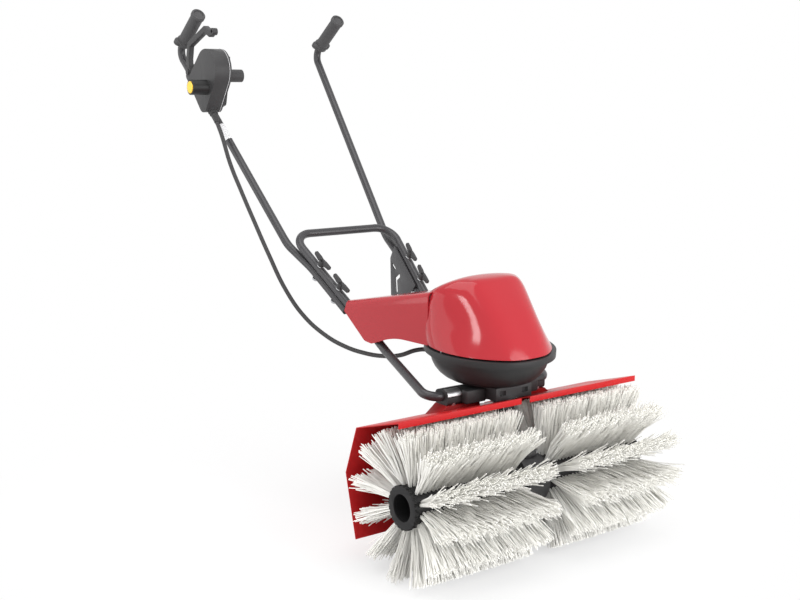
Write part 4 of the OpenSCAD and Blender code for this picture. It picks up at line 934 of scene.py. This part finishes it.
class SWEEPER_OT_stage(bpy.types.Operator):
    """Lays the pale floor and sets the soft studio light"""

    bl_idname = "sweeper.stage"
    bl_label = "Stage"

    floor_size = 30
    floor_drop = 0.0006
    floor_patch = 1.5
    floor_tints = (0.99, 1.01)
    glow_span = (0.35, 1.00)
    glow_start = 0.5

    def floor_finish(self, colour):
        """A matt floor that turns to plain white away from the sweeper"""
        finish, tree, shader = blank_finish("studio_floor")
        low, high = (tinted(colour, share) for share in self.floor_tints)
        tone = blend(tree, noise(tree, self.floor_patch), low, high)
        tree.links.new(tone, shader.inputs["Base Color"])
        shader.inputs["Roughness"].default_value = 0.9
        shader.inputs["Specular IOR Level"].default_value = 0.1
        glow = tree.nodes.new("ShaderNodeEmission")
        glow.inputs["Color"].default_value = (1, 1, 1, 1)
        glow.inputs["Strength"].default_value = 1.0
        place = tree.nodes.new("ShaderNodeTexCoord")
        length = tree.nodes.new("ShaderNodeVectorMath")
        length.operation = "LENGTH"
        tree.links.new(place.outputs["Object"], length.inputs[0])
        fade = ramp(tree, length.outputs["Value"], *self.glow_span, low=self.glow_start)
        mix = tree.nodes.new("ShaderNodeMixShader")
        tree.links.new(combine(tree, "MULTIPLY", fade, self.seen_ray(tree)), mix.inputs["Fac"])
        tree.links.new(shader.outputs["BSDF"], mix.inputs[1])
        tree.links.new(glow.outputs["Emission"], mix.inputs[2])
        tree.links.new(mix.outputs["Shader"], tree.nodes["Material Output"].inputs["Surface"])
        return finish

    def seen_ray(self, tree):
        """1 on rays that show the backdrop itself or its mirror image"""
        rays = tree.nodes.new("ShaderNodeLightPath").outputs
        direct = combine(tree, "MAXIMUM", rays["Is Camera Ray"], rays["Is Glossy Ray"])
        return combine(tree, "MAXIMUM", direct, rays["Is Transmission Ray"])

    def sky(self, strength):
        """White to the eye, weaker as a light"""
        world = bpy.data.worlds.new("studio_sky")
        bpy.context.scene.world = world
        world.use_nodes = True
        tree = world.node_tree
        background = tree.nodes["Background"]
        background.inputs["Color"].default_value = (1, 1, 1, 1)
        power = ramp(tree, self.seen_ray(tree), 0.0, 1.0, low=strength, curve="LINEAR")
        tree.links.new(power, background.inputs["Strength"])

    def softbox(self, name, place, size, power):
        """A rectangular light that faces the sweeper"""
        clear_selection()
        bpy.ops.object.light_add(type="AREA", location=place)
        light = bpy.context.object
        light.name = name
        light.rotation_euler = (LIGHT_TARGET - Vector(place)).to_track_quat("-Z", "Y").to_euler()
        light.data.shape = "RECTANGLE"
        light.data.size, light.data.size_y = size
        light.data.energy = power

    def execute(self, context):
        stage = context.scene.sweeper_stage
        clear_selection()
        bpy.ops.mesh.primitive_plane_add(
            size=self.floor_size, location=(0, 0, CAD_LOW.z - self.floor_drop))
        floor = context.object
        floor.name = "studio_floor"
        floor.data.materials.append(self.floor_finish(stage.floor))
        self.sky(stage.sky)
        for name, (place, size, share) in SOFTBOXES.items():
            self.softbox(name, place, size, stage.key_power * share)
        context.scene.view_settings.view_transform = "Standard"
        return {"FINISHED"}


class SWEEPER_PT_panel(bpy.types.Panel):
    """Lists the steps that build the sweeper"""

    bl_idname = "SWEEPER_PT_panel"
    bl_label = "Power Brush Sweeper"
    bl_space_type = "VIEW_3D"
    bl_region_type = "UI"
    bl_category = "Sweeper"

    def draw(self, context):
        for step in STEPS:
            self.layout.operator(step.bl_idname)


GROUPS = {
    "sweeper_colours": SweeperColours,
    "sweeper_sizes": SweeperSizes,
    "sweeper_stage": SweeperStage,
}
STEPS = (
    SWEEPER_OT_camera,
    SWEEPER_OT_finishes,
    SWEEPER_OT_cable,
    SWEEPER_OT_hood,
    SWEEPER_OT_bristles,
    SWEEPER_OT_strips,
    SWEEPER_OT_eased,
    SWEEPER_OT_trim,
    SWEEPER_OT_stage,
)


def register():
    for name, group in GROUPS.items():
        bpy.utils.register_class(group)
        setattr(bpy.types.Scene, name, PointerProperty(type=group))
    for step in STEPS:
        bpy.utils.register_class(step)
    bpy.utils.register_class(SWEEPER_PT_panel)


def unregister():
    bpy.utils.unregister_class(SWEEPER_PT_panel)
    for step in reversed(STEPS):
        bpy.utils.unregister_class(step)
    for name, group in GROUPS.items():
        delattr(bpy.types.Scene, name)
        bpy.utils.unregister_class(group)


def main():
    register()
    bpy.ops.sweeper.camera()
    bpy.ops.sweeper.finishes()
    bpy.ops.sweeper.cable()
    bpy.ops.sweeper.hood()
    bpy.ops.sweeper.bristles()
    bpy.ops.sweeper.strips()
    bpy.ops.sweeper.eased()
    bpy.ops.sweeper.trim()
    bpy.ops.sweeper.stage()


if __name__ == "__main__":
    main()
